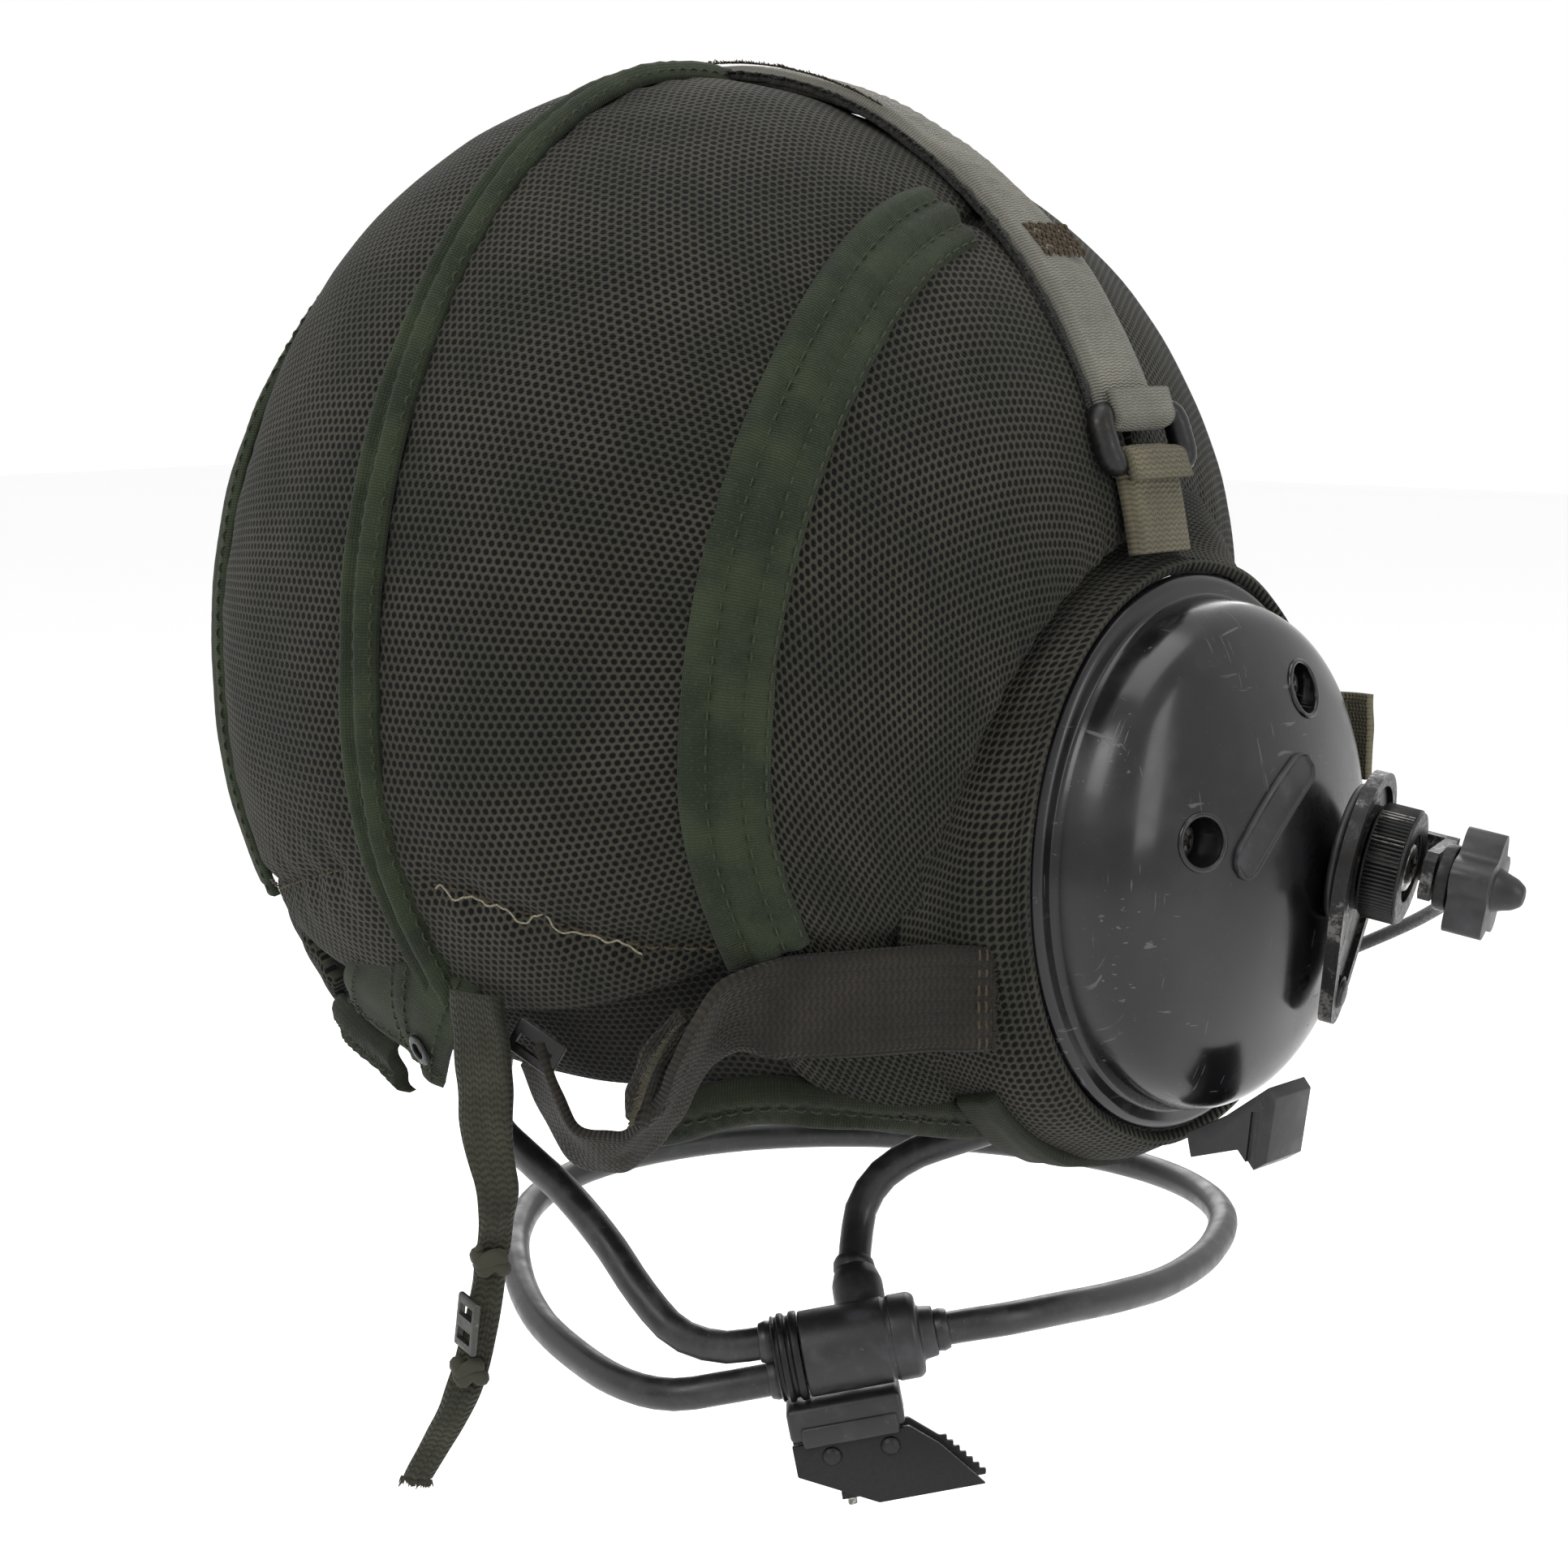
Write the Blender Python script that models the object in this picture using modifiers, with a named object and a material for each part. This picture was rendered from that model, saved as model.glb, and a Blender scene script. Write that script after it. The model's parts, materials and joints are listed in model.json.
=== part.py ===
"""Crewman's radio headset: two ear cups with a boom microphone, carried by a mesh skullcap.

Metres, +Z up. The origin is midway between the ears, on the axis through both ear cups.
The wearer faces -Y, so the wearer's right ear is at -X, where the boom is.
"""
import math

import bmesh
import bpy
from mathutils import Matrix, Vector

# Gap left between pieces that touch
GAP = 0.0003

# Skullcap: an ellipsoid about its own centre, drawn in at the nape
CAP_CENTRE = Vector((0.0, 0.020, 0.036))
CAP_HALF_WIDTH = 0.095
CAP_FRONT = 0.110
CAP_REAR = 0.095
CAP_TOP = 0.106
CAP_DROP = 0.140
NAPE_TUCK = 0.016
TUCK_START = 0.020
TUCK_HEIGHT = 0.045
MESH_THICKNESS = 0.0026
CORONAL_Y = 0.010
FRONT_HEM_ANGLE = 22.0
NAPE_ANGLE = 216.0
SEAM_LIFT = 0.0024
SEAM_THICKNESS = 0.0012

# Webbing
STRAP_WIDTH = 0.0190
STRAP_LIFT = 0.0050
WEBBING = 0.0016
STRAP_END_Z = 0.0818
BUCKLE_Z = 0.0745
BUCKLE_SIZE = (0.0240, 0.0105)
BUCKLE_WIRE = 0.0015
LOOP_TOP_Z = 0.0672
LOOP_END_Z = 0.0575
NAPE_STRAP_WIDTH = 0.0185

# Ear cups, turned about the ear axis and then narrowed to an oval
CUP_PLANE = 0.0950
CUP_RADIUS = 0.0515
CUP_OVAL = 0.94
SCREW_PLACES = ((0.0246, 0.0068), (-0.0105, 0.0308))
SCREW_DEPTHS = (0.0160, 0.0152)
COUNTERBORE = 0.0046
SCREW_RADIUS = 0.0034
SLEEVE_CLEARANCE = 0.0600
SLEEVE_OVAL = 0.96
CORD_RADIUS = 0.0031
GLAND_CENTRE = Vector((0.0850, 0.0140, -0.0445))
GLAND_AXIS = Vector((-0.90, 0.10, -0.42)).normalized()
GLAND_LENGTH = 0.0090

# Boom pivot on the right cup
HUB_CENTRE = Vector((-0.1213, -0.0165, 0.0005))
HUB_AXIS = Vector((-0.935, -0.300, -0.190)).normalized()
BRACKET_RADIUS = 0.0160
BRACKET_DROP = 0.0320
BOSS_RADIUS = 0.0058
BORE_RADIUS = 0.0062
KNOB_RADIUS = 0.0108
KNURLS = 30
STAR_RADIUS = 0.0105
STAR_LOBES = 5
BOOM_RADIUS = 0.0024
MIC_RADIUS = 0.0095
BOOM_TIP = Vector((-0.0480, -0.1180, -0.0460))
MIC_OFFSET = Vector((0.0112, -0.0020, -0.0050))

# Cord junction and clothing clip below the nape
JUNCTION_CENTRE = Vector((-0.0560, 0.0460, -0.0910))
JUNCTION_AXIS = Vector((-0.753, -0.632, 0.186)).normalized()
JUNCTION_RADIUS = 0.0080
CLIP_HINGE = (-0.0060, -0.0021)
CLIP_HEIGHT = -0.0220
LUG_HALF_WIDTH = 0.0017
JAW_OUTLINE = ((-0.0150, -0.0155), (0.0070, -0.0155), (0.0120, -0.0200), (0.0190, -0.0290),
               (0.0000, -0.0300), (-0.0150, -0.0215))

# Routes of the free cords, from where each one leaves its gland
LEAD_LEFT_ROUTE = (
    (0.0804, 0.0145, -0.0467), (0.0750, 0.0151, -0.0492), (0.0695, 0.0158, -0.0518),
    (0.0640, 0.0180, -0.0545), (0.0580, 0.0240, -0.0572), (0.0520, 0.0330, -0.0595),
    (0.0420, 0.0430, -0.0615), (0.0300, 0.0515, -0.0630), (0.0160, 0.0580, -0.0650),
    (0.0020, 0.0620, -0.0690), (-0.0110, 0.0650, -0.0755), (-0.0215, 0.0670, -0.0830),
    (-0.0300, 0.0665, -0.0890), (-0.0368, 0.0618, -0.0915), (-0.0435, 0.0564, -0.0905),
)
LEAD_RIGHT_ROUTE = (
    (-0.0804, 0.0145, -0.0467), (-0.0750, 0.0151, -0.0492), (-0.0695, 0.0158, -0.0518),
    (-0.0635, 0.0172, -0.0545), (-0.0575, 0.0195, -0.0570), (-0.0515, 0.0225, -0.0598),
    (-0.0465, 0.0260, -0.0640), (-0.0440, 0.0290, -0.0695), (-0.0450, 0.0322, -0.0750),
    (-0.0476, 0.0362, -0.0800),
)
NECK_LOOP_ROUTE = (
    (-0.0679, 0.0360, -0.0881), (-0.0723, 0.0322, -0.0871), (-0.0764, 0.0270, -0.0865),
    (-0.0795, 0.0150, -0.0867), (-0.0800, -0.0040, -0.0885), (-0.0775, -0.0260, -0.0905),
    (-0.0700, -0.0520, -0.0915), (-0.0580, -0.0750, -0.0910), (-0.0400, -0.0900, -0.0905),
    (-0.0180, -0.0965, -0.0900), (0.0050, -0.0940, -0.0895), (0.0280, -0.0840, -0.0890),
    (0.0480, -0.0670, -0.0885), (0.0620, -0.0450, -0.0885), (0.0690, -0.0210, -0.0895),
    (0.0670, 0.0010, -0.0915), (0.0570, 0.0200, -0.0945), (0.0400, 0.0370, -0.0975),
    (0.0190, 0.0520, -0.1000), (-0.0040, 0.0625, -0.1015), (-0.0190, 0.0668, -0.1017),
    (-0.0295, 0.0665, -0.1010), (-0.0375, 0.0615, -0.0992), (-0.0449, 0.0553, -0.0974),
)

# Pieces that turn about the empty on each joint's axis
MOVING = {
    "boom_axis": ("boom_bracket",), "knob_axis": ("knurled_knob",), "star_axis": ("star_knob",),
    "tilt_axis": ("boom_arm",), "mic_axis": ("microphone", "mic_windscreen"),
    "clip_axis": ("clip_rear_jaw",),
}

# Finishes: base colour, roughness, metallic
FINISHES = {
    "mesh": ((0.075, 0.070, 0.058), 0.90, 0.0),
    "green_tape": ((0.055, 0.068, 0.040), 0.85, 0.0),
    "webbing": ((0.100, 0.098, 0.072), 0.80, 0.0),
    "cup_black": ((0.012, 0.012, 0.013), 0.22, 0.0),
    "plastic": ((0.020, 0.020, 0.022), 0.45, 0.0),
    "foam": ((0.018, 0.018, 0.018), 0.95, 0.0),
    "seal_skin": ((0.022, 0.021, 0.020), 0.50, 0.0),
    "metal_dark": ((0.060, 0.058, 0.055), 0.40, 0.8),
    "steel": ((0.420, 0.410, 0.400), 0.35, 1.0),
    "rubber": ((0.020, 0.020, 0.021), 0.55, 0.0),
}


def empty_the_scene():
    for obj in list(bpy.data.objects):
        bpy.data.objects.remove(obj, do_unlink=True)


def new_collection(name):
    group = bpy.data.collections.new(name)
    bpy.context.scene.collection.children.link(group)
    return group


def finish(obj, kind):
    """Give an object its own material of one of the named finishes."""
    colour, roughness, metallic = FINISHES[kind]
    material = bpy.data.materials.new(obj.name + "_finish")
    material.use_nodes = True
    shader = material.node_tree.nodes["Principled BSDF"]
    shader.inputs["Base Color"].default_value = (*colour, 1.0)
    shader.inputs["Roughness"].default_value = roughness
    shader.inputs["Metallic"].default_value = metallic
    material.diffuse_color = (*colour, 1.0)
    obj.data.materials.clear()
    obj.data.materials.append(material)


def add_mesh(name, build, kind, matrix=None, collection=None):
    """Make a mesh object from a function that fills a bmesh."""
    mesh = bpy.data.meshes.new(name)
    shape = bmesh.new()
    build(shape)
    shape.to_mesh(mesh)
    shape.free()
    obj = bpy.data.objects.new(name, mesh)
    (collection or PARTS).objects.link(obj)
    obj.matrix_world = matrix or Matrix.Identity(4)
    if kind:
        finish(obj, kind)
    return obj


def smooth(obj, angle=35.0):
    obj.data.shade_smooth()
    obj.data.set_sharp_from_angle(angle=math.radians(angle))
    return obj


def solidify(obj, thickness):
    layer = obj.modifiers.new("thickness", "SOLIDIFY")
    layer.thickness = thickness
    layer.offset = -1.0
    layer.use_even_offset = False
    return obj


def bevel(obj, width, segments=2):
    edge = obj.modifiers.new("rounded edges", "BEVEL")
    edge.width = width
    edge.segments = segments
    edge.limit_method = "ANGLE"
    edge.angle_limit = math.radians(40)
    return obj


def frame_on(origin, axis, up=(0.0, 0.0, 1.0)):
    """Matrix whose local Z is the axis and whose local X is the up direction made square to it."""
    z = Vector(axis).normalized()
    x = Vector(up)
    x = (x - z * x.dot(z)).normalized()
    y = z.cross(x)
    matrix = Matrix((x, y, z)).transposed().to_4x4()
    matrix.translation = origin
    return matrix


def lathe(name, profile, kind, matrix, segments=28, oval=1.0, closed=False):
    """Turn a profile of (radius, height) points about local Z, then narrow it along local Y."""
    def build(shape):
        verts = [shape.verts.new((radius, 0.0, height)) for radius, height in profile]
        for first, second in zip(verts, verts[1:]):
            shape.edges.new((first, second))
        if closed:
            shape.edges.new((verts[-1], verts[0]))

    obj = add_mesh(name, build, kind, matrix)
    screw = obj.modifiers.new("turned", "SCREW")
    screw.axis = "Z"
    screw.steps = segments
    screw.render_steps = segments
    screw.use_merge_vertices = True
    screw.merge_threshold = 0.00001
    screw.use_smooth_shade = True
    if oval != 1.0:
        apply_modifiers(obj)
        obj.data.transform(Matrix.Diagonal((1.0, oval, 1.0, 1.0)))
    return obj


def apply_modifiers(obj):
    """Replace an object's mesh by its evaluated mesh and drop the modifiers."""
    bpy.context.view_layer.update()
    evaluated = obj.evaluated_get(bpy.context.evaluated_depsgraph_get())
    mesh = bpy.data.meshes.new_from_object(evaluated)
    obj.modifiers.clear()
    obj.data = mesh
    return obj


def block(name, low, high, kind, matrix=None, rounding=0.0):
    """Box between two corners of a local frame, with its own edges rounded."""
    low, high = Vector(low), Vector(high)

    def build(shape):
        bmesh.ops.create_cube(shape, size=1.0)
        bmesh.ops.scale(shape, vec=high - low, verts=shape.verts)
        bmesh.ops.translate(shape, vec=(low + high) / 2, verts=shape.verts)

    obj = add_mesh(name, build, kind, matrix)
    if rounding:
        bevel(obj, rounding)
    return obj


def slab(name, outline, low, high, kind, matrix=None):
    """Straight extrusion of a flat outline between two heights."""
    def build(shape):
        verts = [shape.verts.new((x, y, low)) for x, y in outline]
        face = shape.faces.new(verts)
        made = bmesh.ops.extrude_face_region(shape, geom=[face])
        tops = [item for item in made["geom"] if isinstance(item, bmesh.types.BMVert)]
        bmesh.ops.translate(shape, vec=(0.0, 0.0, high - low), verts=tops)
        bmesh.ops.recalc_face_normals(shape, faces=shape.faces)

    return add_mesh(name, build, kind, matrix)


def rod_cutter(name, radius, low, high, matrix, segments=24):
    """Round cutter along local Z, kept out of the part."""
    def build(shape):
        bmesh.ops.create_cone(shape, cap_ends=True, segments=segments, radius1=radius,
                              radius2=radius, depth=high - low)
        bmesh.ops.translate(shape, vec=(0.0, 0.0, (low + high) / 2), verts=shape.verts)

    obj = add_mesh(name, build, None, matrix, CUTTERS)
    obj.hide_render = True
    obj.display_type = "WIRE"
    return obj


def combine(obj, other, operation):
    tool = obj.modifiers.new(operation.lower(), "BOOLEAN")
    tool.operation = operation
    tool.solver = "EXACT"
    tool.object = other
    return obj


def cut(obj, cutter):
    return combine(obj, cutter, "DIFFERENCE")


def join(obj, other):
    """Unite two solids into one body; the second one is taken up by the first."""
    combine(obj, other, "UNION")
    apply_modifiers(obj)
    bpy.data.objects.remove(other, do_unlink=True)
    return obj


def spline_point(points, t):
    """Catmull-Rom point at t from 0 to 1 along a list of vectors."""
    spans = len(points) - 1
    place = min(max(t, 0.0), 1.0) * spans
    index = min(int(place), spans - 1)
    f = place - index
    p1, p2 = points[index], points[index + 1]
    p0 = points[index - 1] if index > 0 else p1 * 2 - p2
    p3 = points[index + 2] if index + 2 <= spans else p2 * 2 - p1
    return 0.5 * (2 * p1 + (p2 - p0) * f + (2 * p0 - 5 * p1 + 4 * p2 - p3) * f * f
                  + (3 * p1 - p0 - 3 * p2 + p3) * f ** 3)


def even_route(route, spacing):
    """Points of a smooth curve through a route, about one spacing apart."""
    knots = [Vector(point) for point in route]
    dense = [spline_point(knots, i / 800) for i in range(801)]
    lengths = [0.0]
    for first, second in zip(dense, dense[1:]):
        lengths.append(lengths[-1] + (second - first).length)
    count = max(2, round(lengths[-1] / spacing))
    picked, index = [], 0
    for step in range(count + 1):
        target = lengths[-1] * step / count
        while index < len(lengths) - 1 and lengths[index] < target:
            index += 1
        picked.append(dense[index])
    return picked


def tube(name, route, radius, kind, spacing):
    """Round tube on a POLY spline along a smooth route."""
    curve = bpy.data.curves.new(name, "CURVE")
    curve.dimensions = "3D"
    curve.bevel_depth = radius
    curve.bevel_resolution = 2
    curve.use_fill_caps = True
    points = even_route(route, spacing)
    spline = curve.splines.new("POLY")
    spline.points.add(len(points) - 1)
    for item, point in zip(spline.points, points):
        item.co = (*point, 1.0)
    obj = bpy.data.objects.new(name, curve)
    PARTS.objects.link(obj)
    finish(obj, kind)
    return obj


def meshed(obj):
    """Turn a curve object into a welded mesh object in the same place."""
    bpy.context.view_layer.update()
    name, place = obj.name, obj.matrix_world.copy()
    evaluated = obj.evaluated_get(bpy.context.evaluated_depsgraph_get())
    mesh = bpy.data.meshes.new_from_object(evaluated)
    shape = bmesh.new()
    shape.from_mesh(mesh)
    bmesh.ops.remove_doubles(shape, verts=shape.verts, dist=0.00001)
    bmesh.ops.recalc_face_normals(shape, faces=shape.faces)
    shape.to_mesh(mesh)
    shape.free()
    bpy.data.objects.remove(obj, do_unlink=True)
    made = bpy.data.objects.new(name, mesh)
    made.matrix_world = place
    PARTS.objects.link(made)
    return made


def sheet(name, across, along, point_at, kind, thickness):
    """Open grid laid on a surface, thickened away from the cap's outer side."""
    def build(shape):
        bmesh.ops.create_grid(shape, x_segments=along, y_segments=across, size=0.5)
        for vert in shape.verts:
            vert.co = point_at(vert.co.x + 0.5, vert.co.y + 0.5)
        shape.normal_update()
        turn = sum((f.normal.dot(f.calc_center_median() - CAP_CENTRE) for f in shape.faces), 0.0)
        if turn < 0:
            bmesh.ops.reverse_faces(shape, faces=shape.faces)

    obj = add_mesh(name, build, kind)
    return smooth(solidify(obj, thickness), 60)


# The skullcap's surface

def cap_point(direction, lift=0.0):
    """Point of the cap's outer surface seen from its centre, lifted off the surface."""
    d = Vector(direction).normalized()
    length = CAP_REAR if d.y > 0 else CAP_FRONT
    height = CAP_TOP if d.z > 0 else CAP_DROP
    reach = 1 / math.sqrt((d.x / CAP_HALF_WIDTH) ** 2 + (d.y / length) ** 2 + (d.z / height) ** 2)
    point = CAP_CENTRE + d * (reach + lift)
    low = max(0.0, (TUCK_START - point.z) / TUCK_HEIGHT)
    point.y -= NAPE_TUCK * min(low, 1.5) ** 2 * max(0.0, d.y) ** 2
    return point


def cap_direction(side, sideways, around):
    """Direction from angles in degrees: away from the mid-plane, and around from the face."""
    a, b = math.radians(sideways), math.radians(around)
    return Vector((side * math.sin(a), -math.cos(a) * math.cos(b), math.cos(a) * math.sin(b)))


def coronal_angle(sideways):
    """Angle around at which a seam from ear to ear stands upright over the ears."""
    level = (CAP_CENTRE.y - CORONAL_Y) / CAP_TOP
    return math.degrees(math.acos(min(0.9, level / math.cos(math.radians(sideways)))))


def tape_sideways(around):
    """The rear side seam's angle away from the mid-plane."""
    return 36.0 + 7.0 * math.sin(math.pi * min(max((around - 80.0) / 150.0, 0.0), 1.0))


def ear_ring(side, turn, radius=SLEEVE_CLEARANCE):
    """Direction to the cap surface on a ring round the ear; turn 0 is up and 90 is rearward."""
    a = math.radians(turn)
    y = radius * SLEEVE_OVAL * math.sin(a)
    z = radius * math.cos(a)
    length = CAP_REAR if y > CAP_CENTRE.y else CAP_FRONT
    height = CAP_TOP if z > CAP_CENTRE.z else CAP_DROP
    share = 1 - ((y - CAP_CENTRE.y) / length) ** 2 - ((z - CAP_CENTRE.z) / height) ** 2
    return Vector((side * CAP_HALF_WIDTH * math.sqrt(share), y, z)) - CAP_CENTRE


def browed(direction, outer, inner, u, v):
    """Raise a front row's middle, so that the hem is level over the brow and drops at the temple."""
    return direction + Vector((0.0, 0.0, (outer.z - inner.z) * 0.85 * v * u * (1 - u)))


def mesh_panels(side, word):
    """The rear, side and front panels of spacer mesh on one side."""
    rim = 0.35

    def rear(u, v):
        sideways = rim + (tape_sideways(150.0) - 2 * rim) * u
        start = coronal_angle(sideways) + rim
        around = start + (NAPE_ANGLE - start) * v
        sideways = rim + (tape_sideways(around) - 2 * rim) * u
        return cap_point(cap_direction(side, sideways, around))

    def flank(u, v):
        if v < 0.8:
            around = 84.0 + (NAPE_ANGLE - 84.0) * v / 0.8
            outer = cap_direction(side, tape_sideways(around) + rim, around)
        else:
            around = NAPE_ANGLE + 12.0 * (v - 0.8) / 0.2
            outer = cap_direction(side, tape_sideways(NAPE_ANGLE) + rim - 6.0 * (v - 0.8) / 0.2, around)
        outer = cap_point(outer) - CAP_CENTRE
        inner = ear_ring(side, 12.0 + 138.0 * v)
        return cap_point(outer.lerp(inner, u))

    def front(u, v):
        start = coronal_angle(rim) - 2 * rim
        outer = cap_point(cap_direction(side, rim, start + (FRONT_HEM_ANGLE - start) * v)) - CAP_CENTRE
        inner = ear_ring(side, 8.0 - 88.0 * v)
        return cap_point(browed(outer.lerp(inner, u), outer, inner, u, v))

    sheet("panel_rear_" + word, 6, 18, lambda v, u: rear(u, v), "mesh", MESH_THICKNESS)
    sheet("panel_side_" + word, 5, 18, lambda v, u: flank(u, v), "mesh", MESH_THICKNESS)
    sheet("panel_front_" + word, 9, 10, lambda v, u: front(u, v), "mesh", MESH_THICKNESS)


def cap_strip(name, line, width, steps, kind, lift=SEAM_LIFT, thickness=SEAM_THICKNESS, across=1):
    """Strip of constant width on the cap along a line of directions, t from 0 to 1."""
    def point_at(t, across):
        here = cap_point(line(t)) - CAP_CENTRE
        ahead = cap_point(line(t + 0.002)) - CAP_CENTRE
        sideways = here.cross(ahead - here).normalized()
        return cap_point(here + sideways * width * (across - 0.5), lift)

    return sheet(name, across, steps, point_at, kind, thickness)


def seams():
    cap_strip("centre_seam_binding",
              lambda t: cap_direction(1, 0.0, FRONT_HEM_ANGLE + 2.5 + (NAPE_ANGLE - 26.0) * t),
              0.0088, 30, "green_tape")
    for side, word in ((1, "left"), (-1, "right")):
        cap_strip("seam_tape_" + word,
                  lambda t: cap_direction(side, tape_sideways(98.0 + 117.0 * t), 98.0 + 117.0 * t),
                  0.0155, 20, "green_tape", across=2)
        hem = [cap_point(cap_direction(side, tape_sideways(NAPE_ANGLE) - 5.0, NAPE_ANGLE + 9.5)),
               cap_point(ear_ring(side, 146.0, 0.0655))]
        middle = (hem[0] + hem[1]) / 2
        cap_strip("hem_" + word,
                  lambda t: hem[0].lerp(middle, min(1, 2 * t)).lerp(hem[1], max(0, 2 * t - 1)) - CAP_CENTRE,
                  0.0070, 8, "green_tape")

    def front_line(t):
        side = 1 if t < 0.5 else -1
        inner = ear_ring(side, -80.0, 0.0640)
        outer = cap_point(cap_direction(side, 0.0, FRONT_HEM_ANGLE)) - CAP_CENTRE
        u = abs(2 * t - 1)
        return browed(outer.lerp(inner, u), outer, inner, u, 1.0)

    cap_strip("front_hem_binding", front_line, 0.0080, 22, "green_tape")


def pads():
    """The crown pad inside the cap, and the black pad behind the nape straps."""
    def crown(u, v):
        sideways = -30.0 + 60.0 * u
        return cap_point(cap_direction(1, sideways, 74.0 + 26.0 * v), -MESH_THICKNESS - 0.0008)

    def nape(u, v):
        sideways = -27.0 + 54.0 * u
        return cap_point(cap_direction(1, sideways, 211.0 + 15.0 * v), -MESH_THICKNESS - 0.0010)

    sheet("crown_pad", 4, 8, crown, "foam", 0.0060)
    sheet("nape_pad", 3, 8, nape, "foam", 0.0045)


def strap_direction(z, side, y=CORONAL_Y):
    """Direction to the cap surface at a height in the plane of the headband strap."""
    share = 1 - ((y - CAP_CENTRE.y) / CAP_FRONT) ** 2 - ((z - CAP_CENTRE.z) / CAP_TOP) ** 2
    return Vector((side * CAP_HALF_WIDTH * math.sqrt(max(share, 0.0)), y, z)) - CAP_CENTRE


def upright_frame(z, side, lift):
    """Frame on the strap line: local Z off the surface, local X up along the strap."""
    point = cap_point(strap_direction(z, side), lift)
    above = cap_point(strap_direction(z + 0.002, side), lift)
    up = (above - point).normalized()
    return frame_on(point, Vector((0.0, side, 0.0)).cross(up).normalized(), up)


def straps():
    """Headband strap over the crown, with its buckles and the loops down to the cups."""
    low = math.asin((STRAP_END_Z - CAP_CENTRE.z) / CAP_TOP)

    def over(t):
        angle = low + (math.pi - 2 * low) * t
        x = CAP_HALF_WIDTH * math.cos(angle)
        z = CAP_TOP * math.sin(angle)
        return Vector((x, CORONAL_Y - CAP_CENTRE.y, z))

    cap_strip("headband_strap", over, STRAP_WIDTH, 26, "webbing", STRAP_LIFT, WEBBING)
    for side, word in ((1, "left"), (-1, "right")):
        buckle("strap_buckle_" + word, side)
        cap_strip("strap_loop_" + word,
                  lambda t: strap_direction(LOOP_TOP_Z + (LOOP_END_Z - LOOP_TOP_Z) * t, side),
                  STRAP_WIDTH, 3, "webbing", STRAP_LIFT, WEBBING)


def buckle(name, side):
    """Rectangular wire ring between the strap and its loop."""
    place = upright_frame(BUCKLE_Z, side, STRAP_LIFT - 0.0006)
    width, height = BUCKLE_SIZE
    corner = 0.0028
    curve = bpy.data.curves.new(name, "CURVE")
    curve.dimensions = "3D"
    curve.bevel_depth = BUCKLE_WIRE
    curve.bevel_resolution = 2
    points = []
    for index in range(4):
        cx = (height / 2 - corner) * (1 if index in (0, 3) else -1)
        cy = (width / 2 - corner) * (1 if index in (0, 1) else -1)
        for step in range(4):
            angle = math.radians(90 * index + 30 * step)
            points.append((cx + corner * math.cos(angle), cy + corner * math.sin(angle)))
    spline = curve.splines.new("POLY")
    spline.points.add(len(points) - 1)
    for item, (x, y) in zip(spline.points, points):
        item.co = (x, y, 0.0, 1.0)
    spline.use_cyclic_u = True
    obj = bpy.data.objects.new(name, curve)
    obj.matrix_world = place
    PARTS.objects.link(obj)
    finish(obj, "metal_dark")


def ribbon(name, rows, steps, kind, thickness=WEBBING):
    """Webbing through rows of (middle point, width vector)."""
    middles = [Vector(row[0]) for row in rows]
    widths = [Vector(row[1]) for row in rows]

    def point_at(t, across):
        return spline_point(middles, t) + spline_point(widths, t) * (across - 0.5)

    return sheet(name, 1, steps, point_at, kind, thickness)


def nape_straps():
    upright = (0.0, 0.0, NAPE_STRAP_WIDTH)
    ribbon("nape_strap", (
        ((-0.0850, 0.0570, -0.0200), upright), ((-0.0784, 0.0684, -0.0200), upright),
        ((-0.0720, 0.0762, -0.0202), (0.0, 0.0, 0.0175)),
        ((-0.0673, 0.0825, -0.0204), (0.001, -0.001, 0.0150)),
        ((-0.0626, 0.0890, -0.0220), (-0.0030, 0.0080, 0.0110)),
        ((-0.0564, 0.0905, -0.0300), (-0.0045, 0.0120, 0.0050)),
        ((-0.0501, 0.0905, -0.0402), (-0.0060, 0.0120, 0.0060)),
        ((-0.0402, 0.0905, -0.0488), (-0.0080, 0.0100, 0.0090)),
        ((-0.0295, 0.0915, -0.0495), (-0.0090, 0.0095, 0.0090)),
        ((-0.0228, 0.0925, -0.0425), (-0.0100, 0.0080, 0.0070)),
        ((-0.0200, 0.0945, -0.0330), (-0.0090, 0.0050, 0.0060)),
    ), 32, "webbing")
    ribbon("tail_strap", (
        ((-0.0125, 0.1020, -0.0225), (-0.0115, 0.0, 0.0)),
        ((-0.0160, 0.1045, -0.0340), (-0.0100, -0.0030, 0.0)),
        ((-0.0180, 0.1050, -0.0460), (-0.0065, -0.0070, 0.0)),
        ((-0.0205, 0.1040, -0.0580), (-0.0030, -0.0075, 0.0)),
        ((-0.0180, 0.1035, -0.0700), (-0.0060, -0.0030, 0.0)),
        ((-0.0161, 0.1045, -0.0825), (-0.0060, -0.0030, 0.0)),
        ((-0.0120, 0.1060, -0.0965), (-0.0065, -0.0030, 0.0)),
        ((-0.0030, 0.1080, -0.1120), (-0.0060, -0.0020, 0.0)),
    ), 22, "webbing")
    block("tail_buckle", (-0.0036, 0.0028, -0.0052), (0.0036, 0.0040, 0.0052), "metal_dark",
          Matrix.Translation((-0.0162, 0.1045, -0.0810)), 0.0004)


# Ear cups

def cup_frame(side):
    """Frame of a cup: local Z outward along the ear axis from its flange, local X up."""
    return frame_on(Vector((side * CUP_PLANE, 0.0, 0.0)), (side, 0.0, 0.0))


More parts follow.
